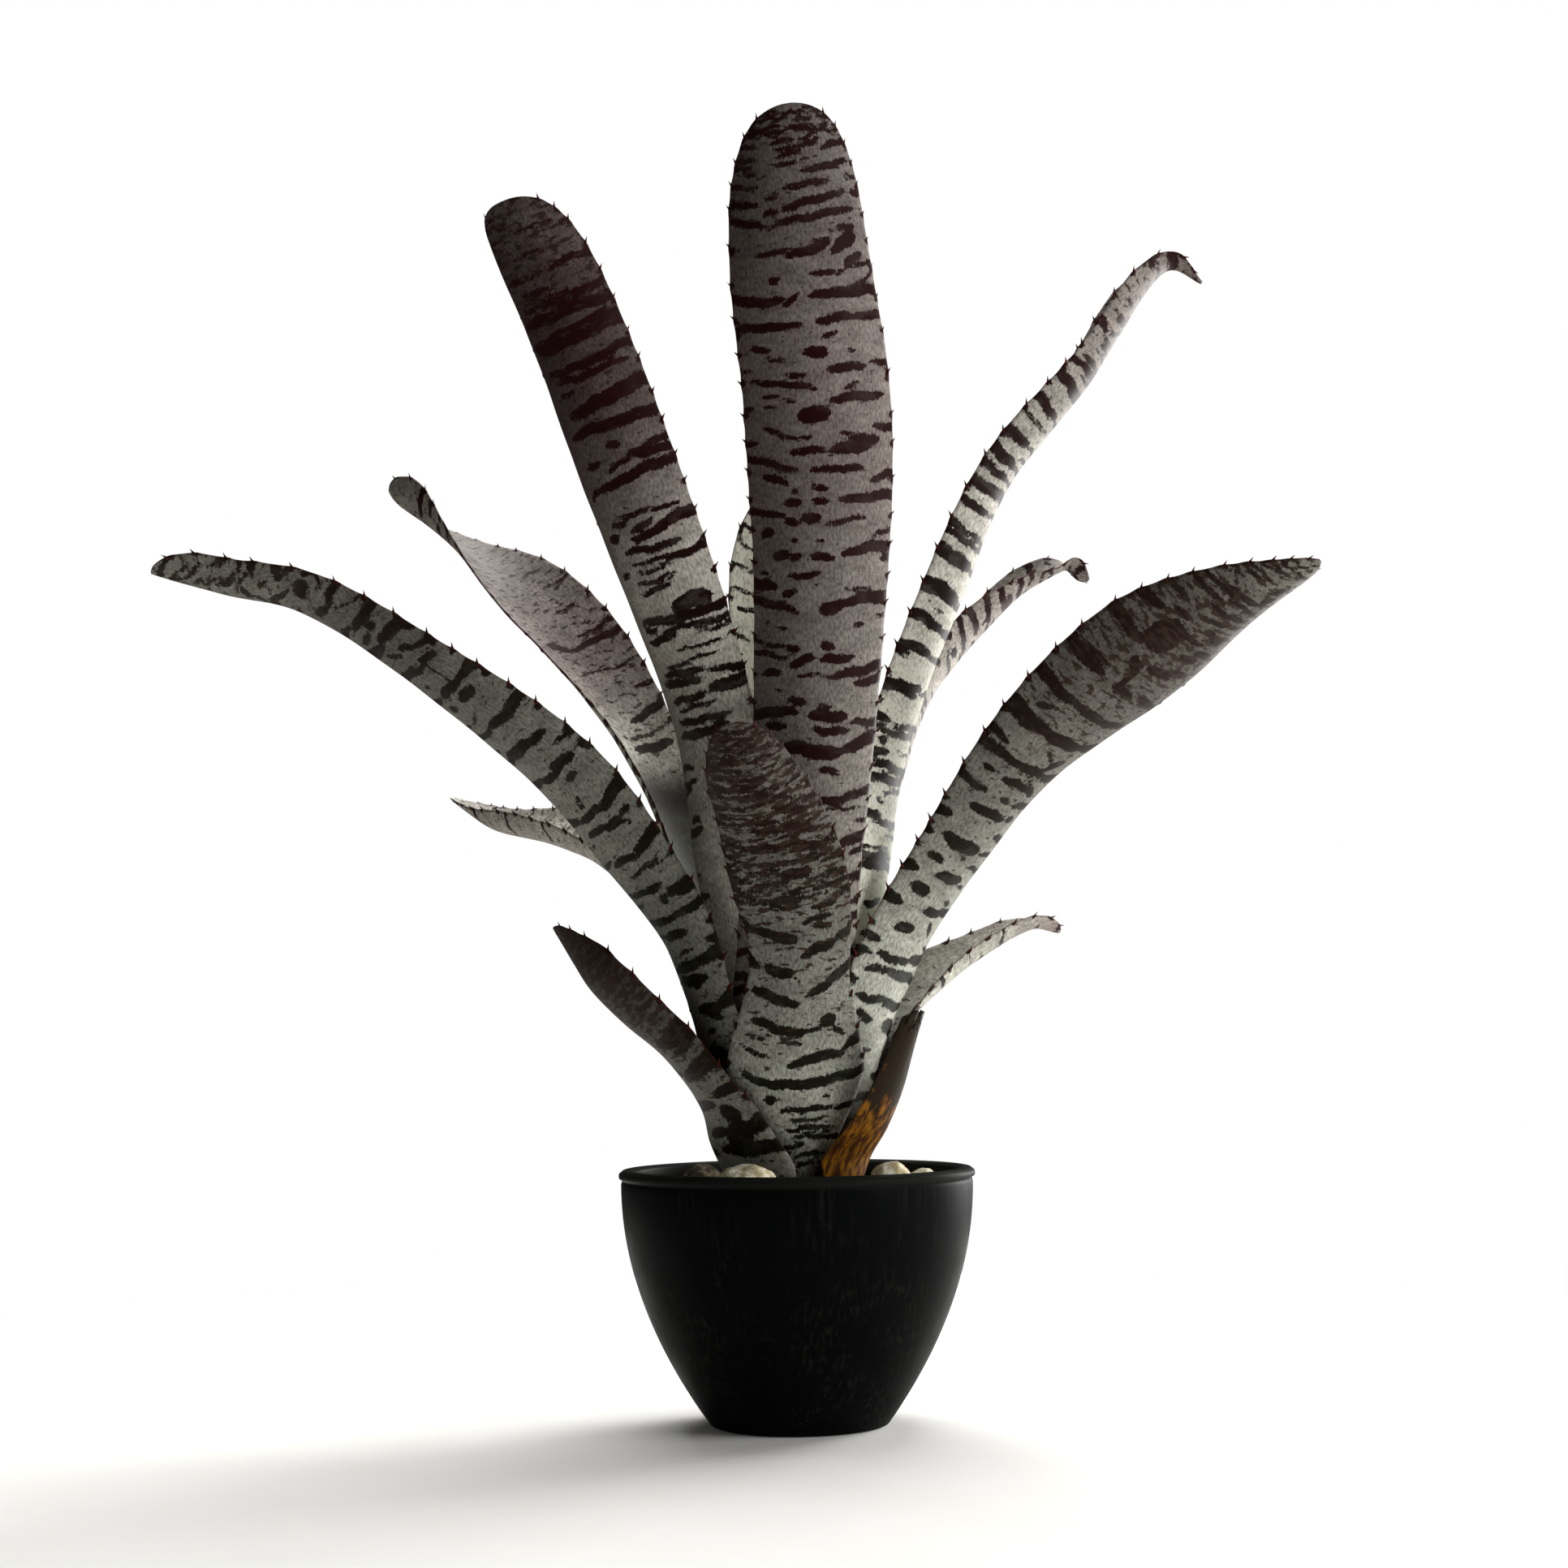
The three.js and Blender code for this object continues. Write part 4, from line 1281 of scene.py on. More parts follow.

# Marks listed one by one on each leaf's outer face, from the root to the tip of the part that shows. A
# row is [at, left, right, thick] and, where they aren't zero, [rise, sag].
CENTRE_TALL_MARKS = (
    (131, 0.65, 1, 2.5, 2), (142, 0.7, 1, 3, 3), (146.5, 0.4, 1, 5, 7), (157.5, 0.75, 0.9, 1.5),
    (160.5, 0.1, 0.8, 0.9, 3), (166, 0, 1, 3.6, 8, 1), (177, 0.1, 0.4, 2.6), (185.5, -0.45, 0.42, 6, -1),
    (190, 0.38, 1, 6, 9), (194.5, -0.05, 0.5, 3, 1.5), (195, -0.75, -0.42, 3, -1),
    (198.5, 0.5, 1, 2.8, 2), (200.5, -0.12, 0.45, 5), (200.8, -0.92, -0.25, 4.5, 1), (205.5, 0, 0.2, 1.4),
    (206, -0.4, -0.15, 3, -1), (211, -0.6, -0.5, 1), (216, 0.52, 1, 3.5, 2.5), (217.5, -0.3, 0.15, 0.9),
    (218.5, -0.82, -0.5, 2.6, -1), (221, 0.15, 1, 4.2, 6.5, -0.5), (223.5, -0.4, -0.06, 4, 3),
    (225, 0.02, 0.5, 3.6, 2), (226, -0.92, -0.4, 1.8, -2), (230, 0, 0.2, 3.6),
    (230.5, -0.92, -0.4, 1.6, -1.5), (229.3, -0.45, -0.26, 3), (238, -0.62, -0.45, 1.3),
    (240, -0.8, -0.74, 1.6), (241.5, 0.48, 0.62, 2.2), (245, 0.8, 1, 1.6, 1), (247, -0.92, -0.3, 3.6, -5),
    (247.8, -0.02, 0.32, 5.4, 3), (252, 0.26, 1, 5, 4.5), (253.5, -0.53, -0.34, 3),
    (256, -0.92, -0.6, 4.8, -3), (256, -0.11, -0.07, 5.5), (257, 0.3, 0.7, 0.8, 1),
    (261.5, -0.46, -0.02, 2.5, 1), (262, -0.88, -0.7, 1.3, -1), (262, 0.95, 1, 4),
    (268.8, -0.43, -0.28, 3), (269.2, -0.16, 0.14, 3.2), (270, -0.66, -0.43, 4), (270, 0.82, 1, 4, 1),
    (273.5, 0.22, 0.95, 4.2, 6.5, -0.5), (276, -0.41, -0.32, 2.5), (276.5, -0.1, 0.02, 0.9),
    (279.5, -0.83, -0.64, 3.6), (281.5, 0.68, 0.9, 2, 2), (284.2, -0.5, -0.31, 3.2, -1),
    (285.8, -0.27, -0.04, 4.2), (285.5, 0.02, 0.6, 1.8, 2.5), (288.3, -0.92, -0.44, 2.7, -2.5),
    (292.7, -0.14, 0.06, 2.6), (293, -0.5, -0.28, 3.2), (296, 0.18, 1, 3.8, 4.5, -0.5),
    (299.5, -0.15, 0.06, 2.5), (299, -0.4, -0.3, 1.3), (303, -0.78, -0.43, 3.2, -2.5),
    (304, 0.6, 1, 3.2, 3), (307, -0.16, 0.56, 2.8, 1), (309.5, -0.92, -0.3, 3.1, -7),
    (314.5, -0.4, 0.06, 3), (317.5, 0.1, 0.76, 5.4, 5.5), (320, -0.9, -0.8, 2.2), (321, -0.5, -0.1, 1.2),
    (322.5, 0.2, 0.62, 1.8, -1), (324, -0.74, -0.44, 2.2, -4), (325.5, 0.66, 1, 3, 1.5),
    (330.5, -0.28, 0.1, 7), (335, -0.95, -0.84, 3), (335, -0.7, -0.55, 1.4, -1), (337, -0.45, -0.3, 1.4),
    (337.8, 0.1, 0.86, 3.4, 3), (340, -0.72, -0.5, 1.2), (342.5, 0.3, 0.5, 1.5, 2),
    (345, -0.86, 0, 2.5, -5.5), (345.5, 0.92, 1, 5), (349, -0.4, -0.14, 2, 1),
    (349.6, 0.1, 0.62, 3.2, 0.5), (351, 0.7, 0.96, 2.6, -0.6), (349, -1, -0.94, 3),
    (354, -0.9, -0.8, 1.4), (357, -0.62, -0.34, 1.4, -3), (357, -0.14, 0.14, 4.8), (357, 0.4, 0.5, 1.8),
    (361.5, -0.8, -0.55, 2.4, -2), (364, 0.1, 0.3, 1.9, 1), (368.5, -1, -0.92, 2.6),
    (370.3, 0.04, 0.56, 3.5, 0.4), (370.5, -0.92, -0.1, 3.3, -2), (370.8, 0.5, 0.96, 3.6, 0.4),
    (373, 0.25, 0.45, 1.1), (380.5, -0.3, -0.12, 2.5, 3), (381.7, 0, 1, 4.6, 2),
    (382.6, -1, -0.25, 3.8, -4), (387, 0.55, 1, 1.2, 5), (390, -0.46, -0.34, 3), (390.5, 0.04, 0.5, 2),
    (393, 0.48, 0.95, 1.6, 4), (397.5, 0.52, 0.82, 3.4, 4), (400.6, -0.62, -0.1, 1.8),
    (401.5, -0.22, 0.36, 3.6, 4), (403.5, 0.36, 0.76, 6, 7), (404.5, -1, -0.9, 5),
    (405.5, 0.1, 0.36, 1.8, 1), (410, 0.46, 0.76, 3, 2), (414.5, -1, -0.38, 2.9, -5),
    (416, -0.36, 0.82, 2.9, 8), (418.4, -0.46, -0.3, 2.5), (422.8, -0.26, 0.7, 3, 6.5),
    (423.5, -1, -0.5, 2.8, -3), (425, -0.43, -0.26, 2), (426, 0.75, 0.9, 3), (429, -0.22, 0.46, 2.3, 3),
    (430, -0.95, -0.5, 1.6, -3), (431.5, 0.72, 0.9, 1.4, 1), (434.5, -0.82, -0.6, 1.3, -1),
    (436.8, 0.04, 0.88, 2.6, 6.5), (437.5, -0.92, -0.62, 1.6, -1), (437.8, -0.34, 0.02, 1.5),
    (441, -0.95, -0.6, 1.5, -2), (441.3, -0.3, 0.05, 1.4), (444, -0.36, 0.1, 1.4), (442.5, 0.0, 0.05, 14),
    (446, 0.42, 0.9, 2.6, 4), (446.5, 0.08, 0.45, 1.8, 4), (447.2, -0.42, 0, 1.5, 1),
    (447, -0.95, -0.6, 1.5, -2), (450.5, 0.04, 0.6, 1.5, 4), (452, -0.92, -0.28, 1.6, -4),
)
LEFT_TALL_MARKS = (
    (105, -0.8, -0.3, 2.2), (116, -0.8, -0.2, 2.6, 2), (127, -0.8, -0.4, 1.3), (145, -0.8, -0.1, 4, 2),
    (150.5, -0.46, -0.14, 2.6), (163.5, -0.8, -0.3, 1.6), (168, -0.8, -0.1, 2.2, 1),
    (174, -0.8, -0.15, 2.3), (188.8, -0.36, 0.76, 3.6), (195, -0.3, 0.7, 2.9), (200.5, -0.2, 0.54, 1.5),
    (205, -0.28, 0.42, 3), (207, 0.46, 1, 5.6, 0.5), (212.6, -0.4, 0.42, 3.4), (214.4, 0.5, 1, 2.6),
    (217.2, -0.3, 0.5, 2.8), (221.3, -0.18, 0.73, 1.1), (226.2, 0.14, 0.88, 1.1), (231.8, 0.5, 1, 1.4),
    (233.6, -0.38, 0.2, 3), (236.3, 0.02, 1, 2.4, -0.5), (238, -0.4, -0.1, 2.4), (241.3, -0.4, 0.95, 3.8),
    (245.9, 0.26, 0.86, 6.4, 1.5), (255.7, -0.17, 0.4, 2), (259.8, -0.18, 0.5, 1.6),
    (264.3, -0.45, -0.25, 2.6), (264.5, -0.1, 0.46, 1.3), (266.4, 0.42, 1, 2.8, 1),
    (267.8, -0.15, 1, 1.7), (273.6, -0.2, 0.7, 2.8), (279.7, 0, 0.55, 3.2, 0.6), (281.5, -0.45, -0.2, 4),
    (282.5, 0.4, 1, 4.8, 2.5), (283.9, 0.05, 0.42, 2.6, 1), (287, -0.26, 0.04, 2.2),
    (289.7, -0.14, 0.84, 1.7), (302.8, -0.52, -0.3, 2.6, 3), (306.2, -0.32, 1, 4.2, 5.5),
    (312.6, 0, 0.36, 1.9, 3), (314.2, 0.38, 1, 3.3), (315, -0.37, -0.1, 3, 2),
    (317.3, 0.34, 0.9, 2.7, 1.5), (322, 0.1, 0.3, 3.2), (330.3, -0.46, 1, 4.7, 2),
    (341.2, -0.37, 1, 6.2, 5), (348.5, -0.42, -0.1, 1.6), (354, -0.4, 0.86, 2.4),
    (358.9, -0.52, 0.9, 3.4, 2), (371.5, -0.66, 0.9, 8, 2), (382, -0.72, 0.9, 4.8, 0),
    (386.6, -0.6, 0.9, 1.1), (389, -0.5, 0.9, 1.6), (391.3, -0.3, 0.4, 1), (394, -0.4, 0.2, 1, -2),
    (400.4, -0.9, 0.3, 1), (401.7, 0.27, 0.9, 2.7, -1), (402, -0.52, -0.24, 1.7),
)
RIGHT_TALL_MARKS = (
    (63, -0.6, 0.5, 3), (69.5, -0.62, 0.4, 4, -1), (78.5, -0.95, -0.74, 4), (90.8, -1, -0.5, 3.6),
    (90, -0.46, 0.5, 2.2), (97.5, -0.82, 0.4, 3.2), (112, -0.85, -0.4, 3, 1), (128, -1, 0.5, 3.2),
    (132.2, -1, -0.1, 3.6), (136, -0.9, -0.3, 1), (142, -0.5, 0.5, 1.6), (147.5, -0.82, 0.8, 3.1, 1),
    (151.3, -1, -0.63, 3.7), (157, -0.76, -0.6, 1.5), (162.6, -0.65, 0.8, 2, 1), (168, -1, 0.7, 3.6, 2),
    (173, -1, 0.8, 3.1, 1), (178, -0.9, -0.64, 3.7, 1), (180, -0.5, 0.1, 1), (182.8, -0.86, -0.74, 2.6),
    (188.6, -0.9, 0.7, 2.6, 2), (192, -1, -0.74, 4), (193.2, -0.7, 0.8, 2.6, 3),
    (205.5, -0.66, -0.38, 2.7), (208.6, -1, -0.3, 5.2, 3), (209.5, -0.34, 0.9, 3.1, 1),
    (222, -1, -0.8, 2.6), (226, -1, -0.4, 4.7), (226.3, -0.44, 0.9, 3.2, 1), (238.2, -0.46, 0.9, 4.7, 1),
    (240, -1, -0.4, 4.8), (246.6, -0.7, -0.5, 0.9), (251.2, -0.36, 0.8, 2.1, 1), (254, -0.3, 0.9, 2.4, 0),
    (254.5, -1, -0.2, 7.2, -1), (270, -0.24, 0.9, 4, 2), (270.6, -1, -0.2, 6.2, -2),
    (279, -0.3, 0.8, 2.1), (280, -0.9, -0.2, 2.7, -1), (283.6, -0.64, 0.2, 2.6),
    (284.6, -1, -0.64, 3.7, -1), (296, -0.4, 0.8, 2.2, 1), (296.2, -1, -0.35, 3.3, -1),
    (305.5, -1, 0.9, 5, 0), (313.3, -1, -0.3, 3.2, -1), (314, -0.36, 0.8, 2.2, 2),
    (321, -1, -0.3, 4.7, -1), (321.6, -0.34, 0.9, 3.2, 3), (325.2, -0.4, 0.3, 1.6),
    (330.6, -1, -0.4, 4.7), (331.3, -0.42, 0.8, 2, 1), (341, -0.9, -0.2, 1.3),
    (348.6, -0.36, 0.9, 2.2, -1), (350, -1, -0.3, 4.1), (364.3, -1, 0.9, 5.2, 0),
    (371.5, -0.6, 0.8, 1.9, -1), (375.2, -0.95, 0.9, 3.2, 1), (378.6, -0.85, 0.8, 2.3),
    (385, -0.5, 0.5, 1.9), (388, -0.65, -0.2, 1.9), (391.6, -0.66, -0.28, 2.3), (395.3, -0.6, -0.34, 1.9),
    (396, -0.96, -0.68, 4.1, -1), (400, -0.4, 0.7, 2.6, 3), (402.6, -0.66, -0.24, 2.1, 1),
    (405.6, -0.65, 0.5, 1.9, 2), (409, -0.4, 0.8, 2.1, 2), (412.5, -0.7, -0.4, 1.6, -1),
    (419, -0.46, 0.7, 2.1, 1), (425, -0.46, 0.2, 2.1, 1), (427.3, -0.3, 0.6, 1.6, 2),
    (431.6, -0.92, -0.73, 3.1), (432.3, -0.66, 0.8, 2.1, 1), (440.5, -1, 0.6, 4.1, -1),
    (455, -0.8, 0.4, 2.2, 3), (458.6, -0.7, 0.8, 2.2, 3),
)
# The thick marks at 40 to 57 mm along the left arching leaf are partly painted shade: they darken its base
# where it stands among the other leaves.
LEFT_ARCHING_MARKS = (
    (33, 0.1, 0.4, 3), (40, 0.38, 0.56, 8.5), (40, -0.7, 0.3, 1.1), (57, -0.4, 0.2, 6),
    (56.5, 0.08, 0.56, 13), (70, 0.3, 0.5, 2), (75.6, 0.44, 0.76, 3.2), (79.6, 0.24, 0.86, 4.2, 2),
    (82.5, 0.74, 1, 6.5, 2), (89, 0.34, 0.5, 2.1), (92.6, -0.02, 0.7, 4.4), (97, -0.8, 0, 3.1),
    (99.6, -0.05, 0.7, 4.3, 1), (101.6, 0.52, 1, 4.3, 3), (105.6, 0.2, 0.6, 1), (108, 0.84, 1, 3.6),
    (113.6, 0.08, 0.62, 3.8), (114, -0.7, 0.15, 2.6, 1), (121, 0.44, 1, 2.8), (121.6, -0.3, 0.56, 3.2),
    (130, 0.48, 0.62, 3.8), (130.6, 0.63, 1, 6, -1), (132, -0.8, 0.1, 2.2, -1), (136, 0.3, 0.6, 2.2),
    (137, -0.2, 0.66, 2.6, -2), (143.6, 0.64, 0.86, 1.1), (146, 0.2, 0.8, 1.5, 2),
    (153, 0.12, 0.62, 3.2, -1), (155.6, 0.56, 1, 5.8, 4), (156, -0.8, 0.14, 2.2, -2),
    (165.6, -0.6, 0.05, 1.1), (167.5, 0.67, 0.76, 2.6, -2), (170.6, 0.38, 0.7, 4.1),
    (170.6, 0.04, 0.42, 3.2), (171.6, 0.74, 0.87, 3.2), (178.8, 0.08, 0.56, 3.2, 1),
    (180.6, -0.9, 0.16, 4.8, -2), (180.6, 0.5, 1, 5.2, 4), (184.5, 0.3, 0.38, 2.1), (187, 0.32, 0.39, 4),
    (196.6, 0.44, 0.63, 3.1), (202.6, 0.08, 0.5, 3.3, 1), (203.7, -0.9, 0.14, 4.4), (204, 0.4, 0.8, 4.3),
    (204, 0.88, 1, 5.4), (211, 0.7, 0.93, 2.1, -1), (219.5, -0.85, 0.2, 3.2, 1),
    (219.6, 0.42, 0.8, 3.2, -1), (220.6, -0.1, 0.52, 5.3), (227, -0.8, -0.1, 2.6), (227.3, 0.9, 1, 3.2),
    (236, -0.6, 0.26, 2.6), (236.6, 0.22, 0.95, 4.8), (243, 0, 0.32, 1.1, 5), (244, -0.8, -0.05, 2.7),
    (247, 0.63, 0.67, 8), (253, 0.9, 1, 4.2), (253.6, 0.34, 0.7, 4.6), (254, -0.02, 0.16, 3.6),
    (261, 0.62, 1, 4.2, 1), (261, 0.14, 0.66, 4.2), (262, -0.85, 0.1, 3.7), (268.6, 0.08, 0.2, 2.2),
    (271, 0.53, 0.57, 20), (276, 0.2, 0.52, 3.2), (276.8, 0.58, 0.86, 3.4), (278.6, 0.88, 1, 3.4),
    (279, -0.8, 0.4, 4.7, -1), (283, 0.58, 0.9, 2.6, -3), (287, 0.53, 0.75, 3, -3),
    (288, 0.2, 0.46, 2.6, -4), (290, 0.88, 1, 3.2), (295.6, 0.38, 0.96, 5, -2), (296, -0.9, 0.42, 6.2),
    (303, 0.08, 0.46, 2.6), (304, 0.5, 0.7, 3.2), (309.3, 0.3, 0.92, 4.1), (312, -0.9, 0.4, 3.2, -1),
    (318, 0.5, 0.9, 1.1, -6), (324, 0.48, 0.92, 2.7), (325.6, 0.14, 0.5, 3.7, -1),
    (328.6, -0.8, -0.1, 2.2), (331, 0.8, 1, 1.3, 3), (333, -0.9, 0.12, 2.7), (335.6, 0.9, 1, 3.2),
    (335.6, 0.44, 0.86, 4.7), (340.6, 0.28, 0.6, 1.6, -2), (342, 0.85, 1, 1.6),
    (344.6, -0.8, 0.42, 3.7, -2), (345.6, 0.7, 0.92, 3.6), (351, 0.5, 0.7, 2.1, -4),
    (352, 0.08, 0.26, 3, 5), (355.6, 0.7, 0.98, 2.4, 1), (356.6, 0.14, 0.46, 3.2, 3),
    (359, 0.5, 0.8, 1.6, -3), (362, 0.74, 0.96, 1.6, -2), (364, 0.38, 0.76, 2.6, -3),
    (368, 0.3, 0.6, 2.1, -4), (369, 0.8, 0.96, 1.9, -1), (373, 0.24, 0.6, 1.6, -4),
    (374, 0.74, 0.92, 2.1, -3), (378, 0.2, 0.52, 2.1, -4), (380, 0.6, 0.86, 1.6, -4),
    (384, 0.1, 0.66, 2.1, -8), (386, 0.5, 0.82, 1.6, -4), (390, -0.4, 0.5, 2.1, -5),
    (395, -0.8, 0.9, 2.4, -2),
)
RIGHT_ARCHING_MARKS = (
    (70, -0.1, 0.5, 7, -3), (75, -0.72, -0.38, 3.2, -3), (80.6, -0.32, 0.5, 4.1),
    (82.6, -0.82, -0.2, 2.7, -1), (85.3, 0.34, 0.46, 1.3), (88, -0.96, -0.84, 2.7),
    (93, -0.82, -0.2, 2.3, 2), (95, -0.34, 0.6, 5, 4), (98, -1, -0.8, 2.7), (99.6, -0.72, -0.08, 3.2, 3),
    (105, -1, -0.74, 3.2, 1), (105, -0.12, 0.6, 5.2, 3), (111, 0.14, 0.5, 2), (114, -0.66, -0.34, 4.3, 2),
    (118, -0.08, 0.12, 4, -5), (121, -0.98, -0.73, 4.7), (126, -0.37, 0.06, 4.2, 3),
    (129, -0.02, 0.6, 4.2, 1), (131.6, -0.76, -0.44, 5.9, 1), (133, -0.06, 0.1, 2.1),
    (138.6, -0.94, -0.79, 4.8), (143, -0.52, 0, 4.9, 3), (142, 0, 0.2, 1.6), (148.6, -0.8, -0.54, 3.7),
    (151.6, -0.1, 0.5, 2.1), (153.6, -0.36, -0.24, 1.6), (159, -1, -0.88, 5.2), (160, -0.02, 0.5, 2.1),
    (160.8, -0.76, -0.08, 6.8), (169, 0, 0.5, 3.1, -1), (170, -1, -0.78, 4.8), (180, -0.66, -0.04, 4.3),
    (180, 0, 0.2, 3.1), (187, -0.06, 0.6, 3.6, -1), (188, -0.32, -0.14, 2.7), (189, -1, -0.5, 2.7),
    (196, 0, 0.2, 5, -4), (197, -0.46, 0.02, 3.7), (197.6, -0.8, -0.6, 2.1), (199, -0.2, 0.2, 1.6, -10),
    (205, 0.08, 0.6, 5, -1), (205.6, -1, -0.34, 3.7), (206, -0.42, 0.12, 4.2), (211.5, -1, -0.68, 3.2),
    (212, 0, 0.26, 4.6, 5), (215, -0.2, 0.12, 2.1, -6), (225, -0.38, 0.24, 6.2),
    (225, 0.18, 0.9, 6.2, -2), (225.6, -1, -0.33, 7.4), (233, -0.72, -0.54, 3, 3), (243, 0.08, 0.6, 4.2),
    (243.2, -0.34, 0.14, 4.4), (243.6, -1, -0.33, 5.2), (252, -0.5, -0.46, 6.5), (258, 0.55, 0.9, 5, -4),
    (260, -0.22, 0.14, 4.2), (261, 0.2, 0.62, 4.7, -2), (261.5, -1, -0.38, 4.9, -1),
    (263, -0.82, -0.6, 5.5), (264, -0.19, -0.12, 25), (262, -0.43, -0.38, 14), (266, -0.67, -0.44, 2.1),
    (273, -0.36, -0.13, 5.4, -2), (276, -0.12, 0.32, 4.2, 1), (281, 0.2, 0.6, 3.1, 1),
    (283, -1, -0.38, 4.8, -2), (289, 0.08, 0.42, 3.1, 2), (290.8, -0.54, -0.09, 17, -2),
    (295, 0.2, 0.6, 3.1, 1), (297.4, -1, -0.64, 5.2, 2), (298, -0.2, 0.22, 2.1),
    (302.6, -0.62, -0.34, 2.7, -1), (303, 0.2, 0.5, 3.1), (305.5, -0.05, 0.6, 3.1, 1),
    (308, -0.92, -0.58, 2.7, 2), (309.5, -0.32, 0.2, 2.1, 3), (313, 0.1, 0.6, 1.6, 2),
    (316.6, -0.42, 0.5, 2.7, 3), (317.6, -0.92, -0.2, 2.1, 3), (323, -0.9, 0.6, 1.9, 2),
    (327, -0.7, 0.42, 2.3, 3), (330, -0.9, -0.58, 1.3, -2), (333, 0.12, 0.5, 4.2, 2),
    (336.5, -0.9, -0.4, 1.6, 1), (337.5, 0, 0.36, 3.1, 3),
)
FRONT_SHORT_MARKS = (
    (27, -0.1, 1, 2, 0.5), (31, -0.22, 0.8, 2), (35, -0.12, 0.3, 1.5), (36, 0.12, 0.6, 1.1),
    (39.6, -0.3, 0.62, 2.2, 1), (40.8, 0.58, 1, 2.4, 2), (44, -0.5, -0.3, 4.2), (46.4, 0.4, 0.52, 1.1),
    (51.5, -0.76, 0.97, 4.4, 2.5, 6), (55, -0.72, -0.5, 2.4, -3), (63.6, -0.12, 0.7, 4.1, 5),
    (66, -0.77, -0.38, 1.7, -3), (70, 0.68, 0.9, 4.2, 4), (70.6, -0.26, 0.06, 1.8),
    (72, -0.8, -0.4, 1.1, -3), (75.2, 0.53, 0.72, 2.6, -2), (76, -0.76, 0.2, 3.7, -4, 1.5),
    (77.2, 0.18, 0.4, 1.4, 2), (80.2, 0.34, 0.6, 4.9, 2), (90, -0.86, 0.02, 4.1, -6.5),
    (97, -0.06, 0.02, 2.1, -2), (98, 0.12, 1, 4.3, 13, -1), (101.6, -0.66, -0.08, 4.6, -3),
    (105, -1, -0.74, 4.2, -6), (111, 0.04, 0.66, 4.4, 5), (115.4, 0.66, 1, 3.3, 3),
    (116, -0.5, 0, 4.2, -2), (118, -0.82, -0.1, 4.1, -5), (120, 0.28, 0.62, 2.1),
    (122, -1, -0.6, 4.2, -9), (123.5, 0.08, 0.62, 2.1, 2), (129, 0.28, 0.72, 2, 1),
    (130.3, -0.42, 0.12, 2.1, -1), (134.3, -0.52, 0.22, 2.8), (136.5, 0.36, 0.92, 2, -1),
    (138, -1, -0.48, 2, -8), (140.5, 0.26, 0.92, 1.4, -2), (142.5, -0.62, 0.02, 2.1, -2),
    (146, -0.12, 0.42, 4.8), (147, -1, -0.58, 2, -6), (150.5, -0.02, 0.92, 1.4, -3),
    (152.5, -0.32, 0.12, 2), (154, -0.92, -0.18, 1.4, -6), (158, 0.18, 0.82, 3.4, -8),
    (161.5, -0.62, 0.32, 2.4, -5), (165, -1, -0.48, 2, -6), (168, 0.18, 0.72, 4.8, -8),
    (170, -0.42, 0.22, 2.8, -4), (176, -0.32, 0.12, 2.7, -3), (176, -1, -0.48, 1.4, -3),
    (178.5, 0.18, 0.72, 4.8, -10), (180, -0.92, -0.18, 1.1, -4), (184, -0.52, -0.28, 2),
    (187.5, -0.02, 0.62, 2.1, -8), (190, -0.62, 0.12, 1.4, -3), (195, -0.82, 0.22, 2.1, -4),
    (196.3, -1, -0.28, 1.4, -2), (200.5, -0.92, 0.42, 1.4, -5), (205, -0.92, 0.12, 1.4, -3),
    (208, 0.04, 0.32, 1.4, -4), (209, -0.92, -0.08, 1.4, -1), (212.5, -1, 0.02, 1.1, -1),
    (216, -1, 0.52, 1, -3), (219, -1, 0.82, 1.1, -3), (223, -0.92, 0.62, 1.1, -2), (226, -1, 1, 1.1, -1),
)
RIGHT_BACK_MARKS = (
    (220, -1, -0.45, 3.1), (226, -0.52, 0.6, 1.6), (233, 0, 1, 4.6, 3), (239, -1, -0.68, 4.1),
    (243.5, -0.72, 0.3, 2.1, -4, 2), (250, -0.62, -0.38, 4.1), (252, -1, -0.8, 5.1),
    (255, -0.3, 0.6, 1.6, 3), (258, -0.92, -0.08, 3.1, -5), (262, 0, 0.9, 3, 4), (264, -0.2, 0.2, 2.1),
    (268.5, -1, -0.28, 3.7, -3), (272, 0.1, 0.9, 2.6, 5), (275, -0.52, -0.38, 4.1, -4),
    (276, -0.3, 0.3, 2.1, 2), (278.5, -1, -0.28, 3.1, -3), (282, -0.3, 0.9, 2.1, 3),
    (287.5, -1, 0.1, 3.1, -2), (292, -0.72, 0.8, 4, 2), (299, -1, -0.2, 3.1, -4), (300, 0.1, 0.9, 3, 3),
    (304, -0.5, 0.3, 1.6, 2), (306, -1, -0.58, 2.1, -3), (310, 0.1, 0.9, 2.2, 3), (313, -1, 0.6, 1.4, -1),
    (318.5, -1, 0.8, 1.8, -1), (325, -0.6, 0.7, 1.5, 1), (331, -0.6, 0.6, 1.6), (336, -1, 1, 2.2, -1),
)
LEFT_LOW_MARKS = (
    (26, -0.5, 0.2, 4), (29, 0.28, 1, 5.2, 3), (34.5, 0.48, 0.78, 12, 5), (36, 0.18, 0.52, 4.2),
    (38, 0.74, 0.92, 6.3, 3), (44, 0.52, 0.78, 8), (49.5, -0.3, 0.52, 5.2, 1), (56.5, 0.58, 0.92, 4.2, 3),
    (58, 0.84, 1, 3.1), (67, -0.6, 0.24, 4), (67.5, 0.22, 1, 6.4, 7), (79, 0.44, 1, 3.4, 3),
    (84, 0.24, 1, 6.2, 4),
)
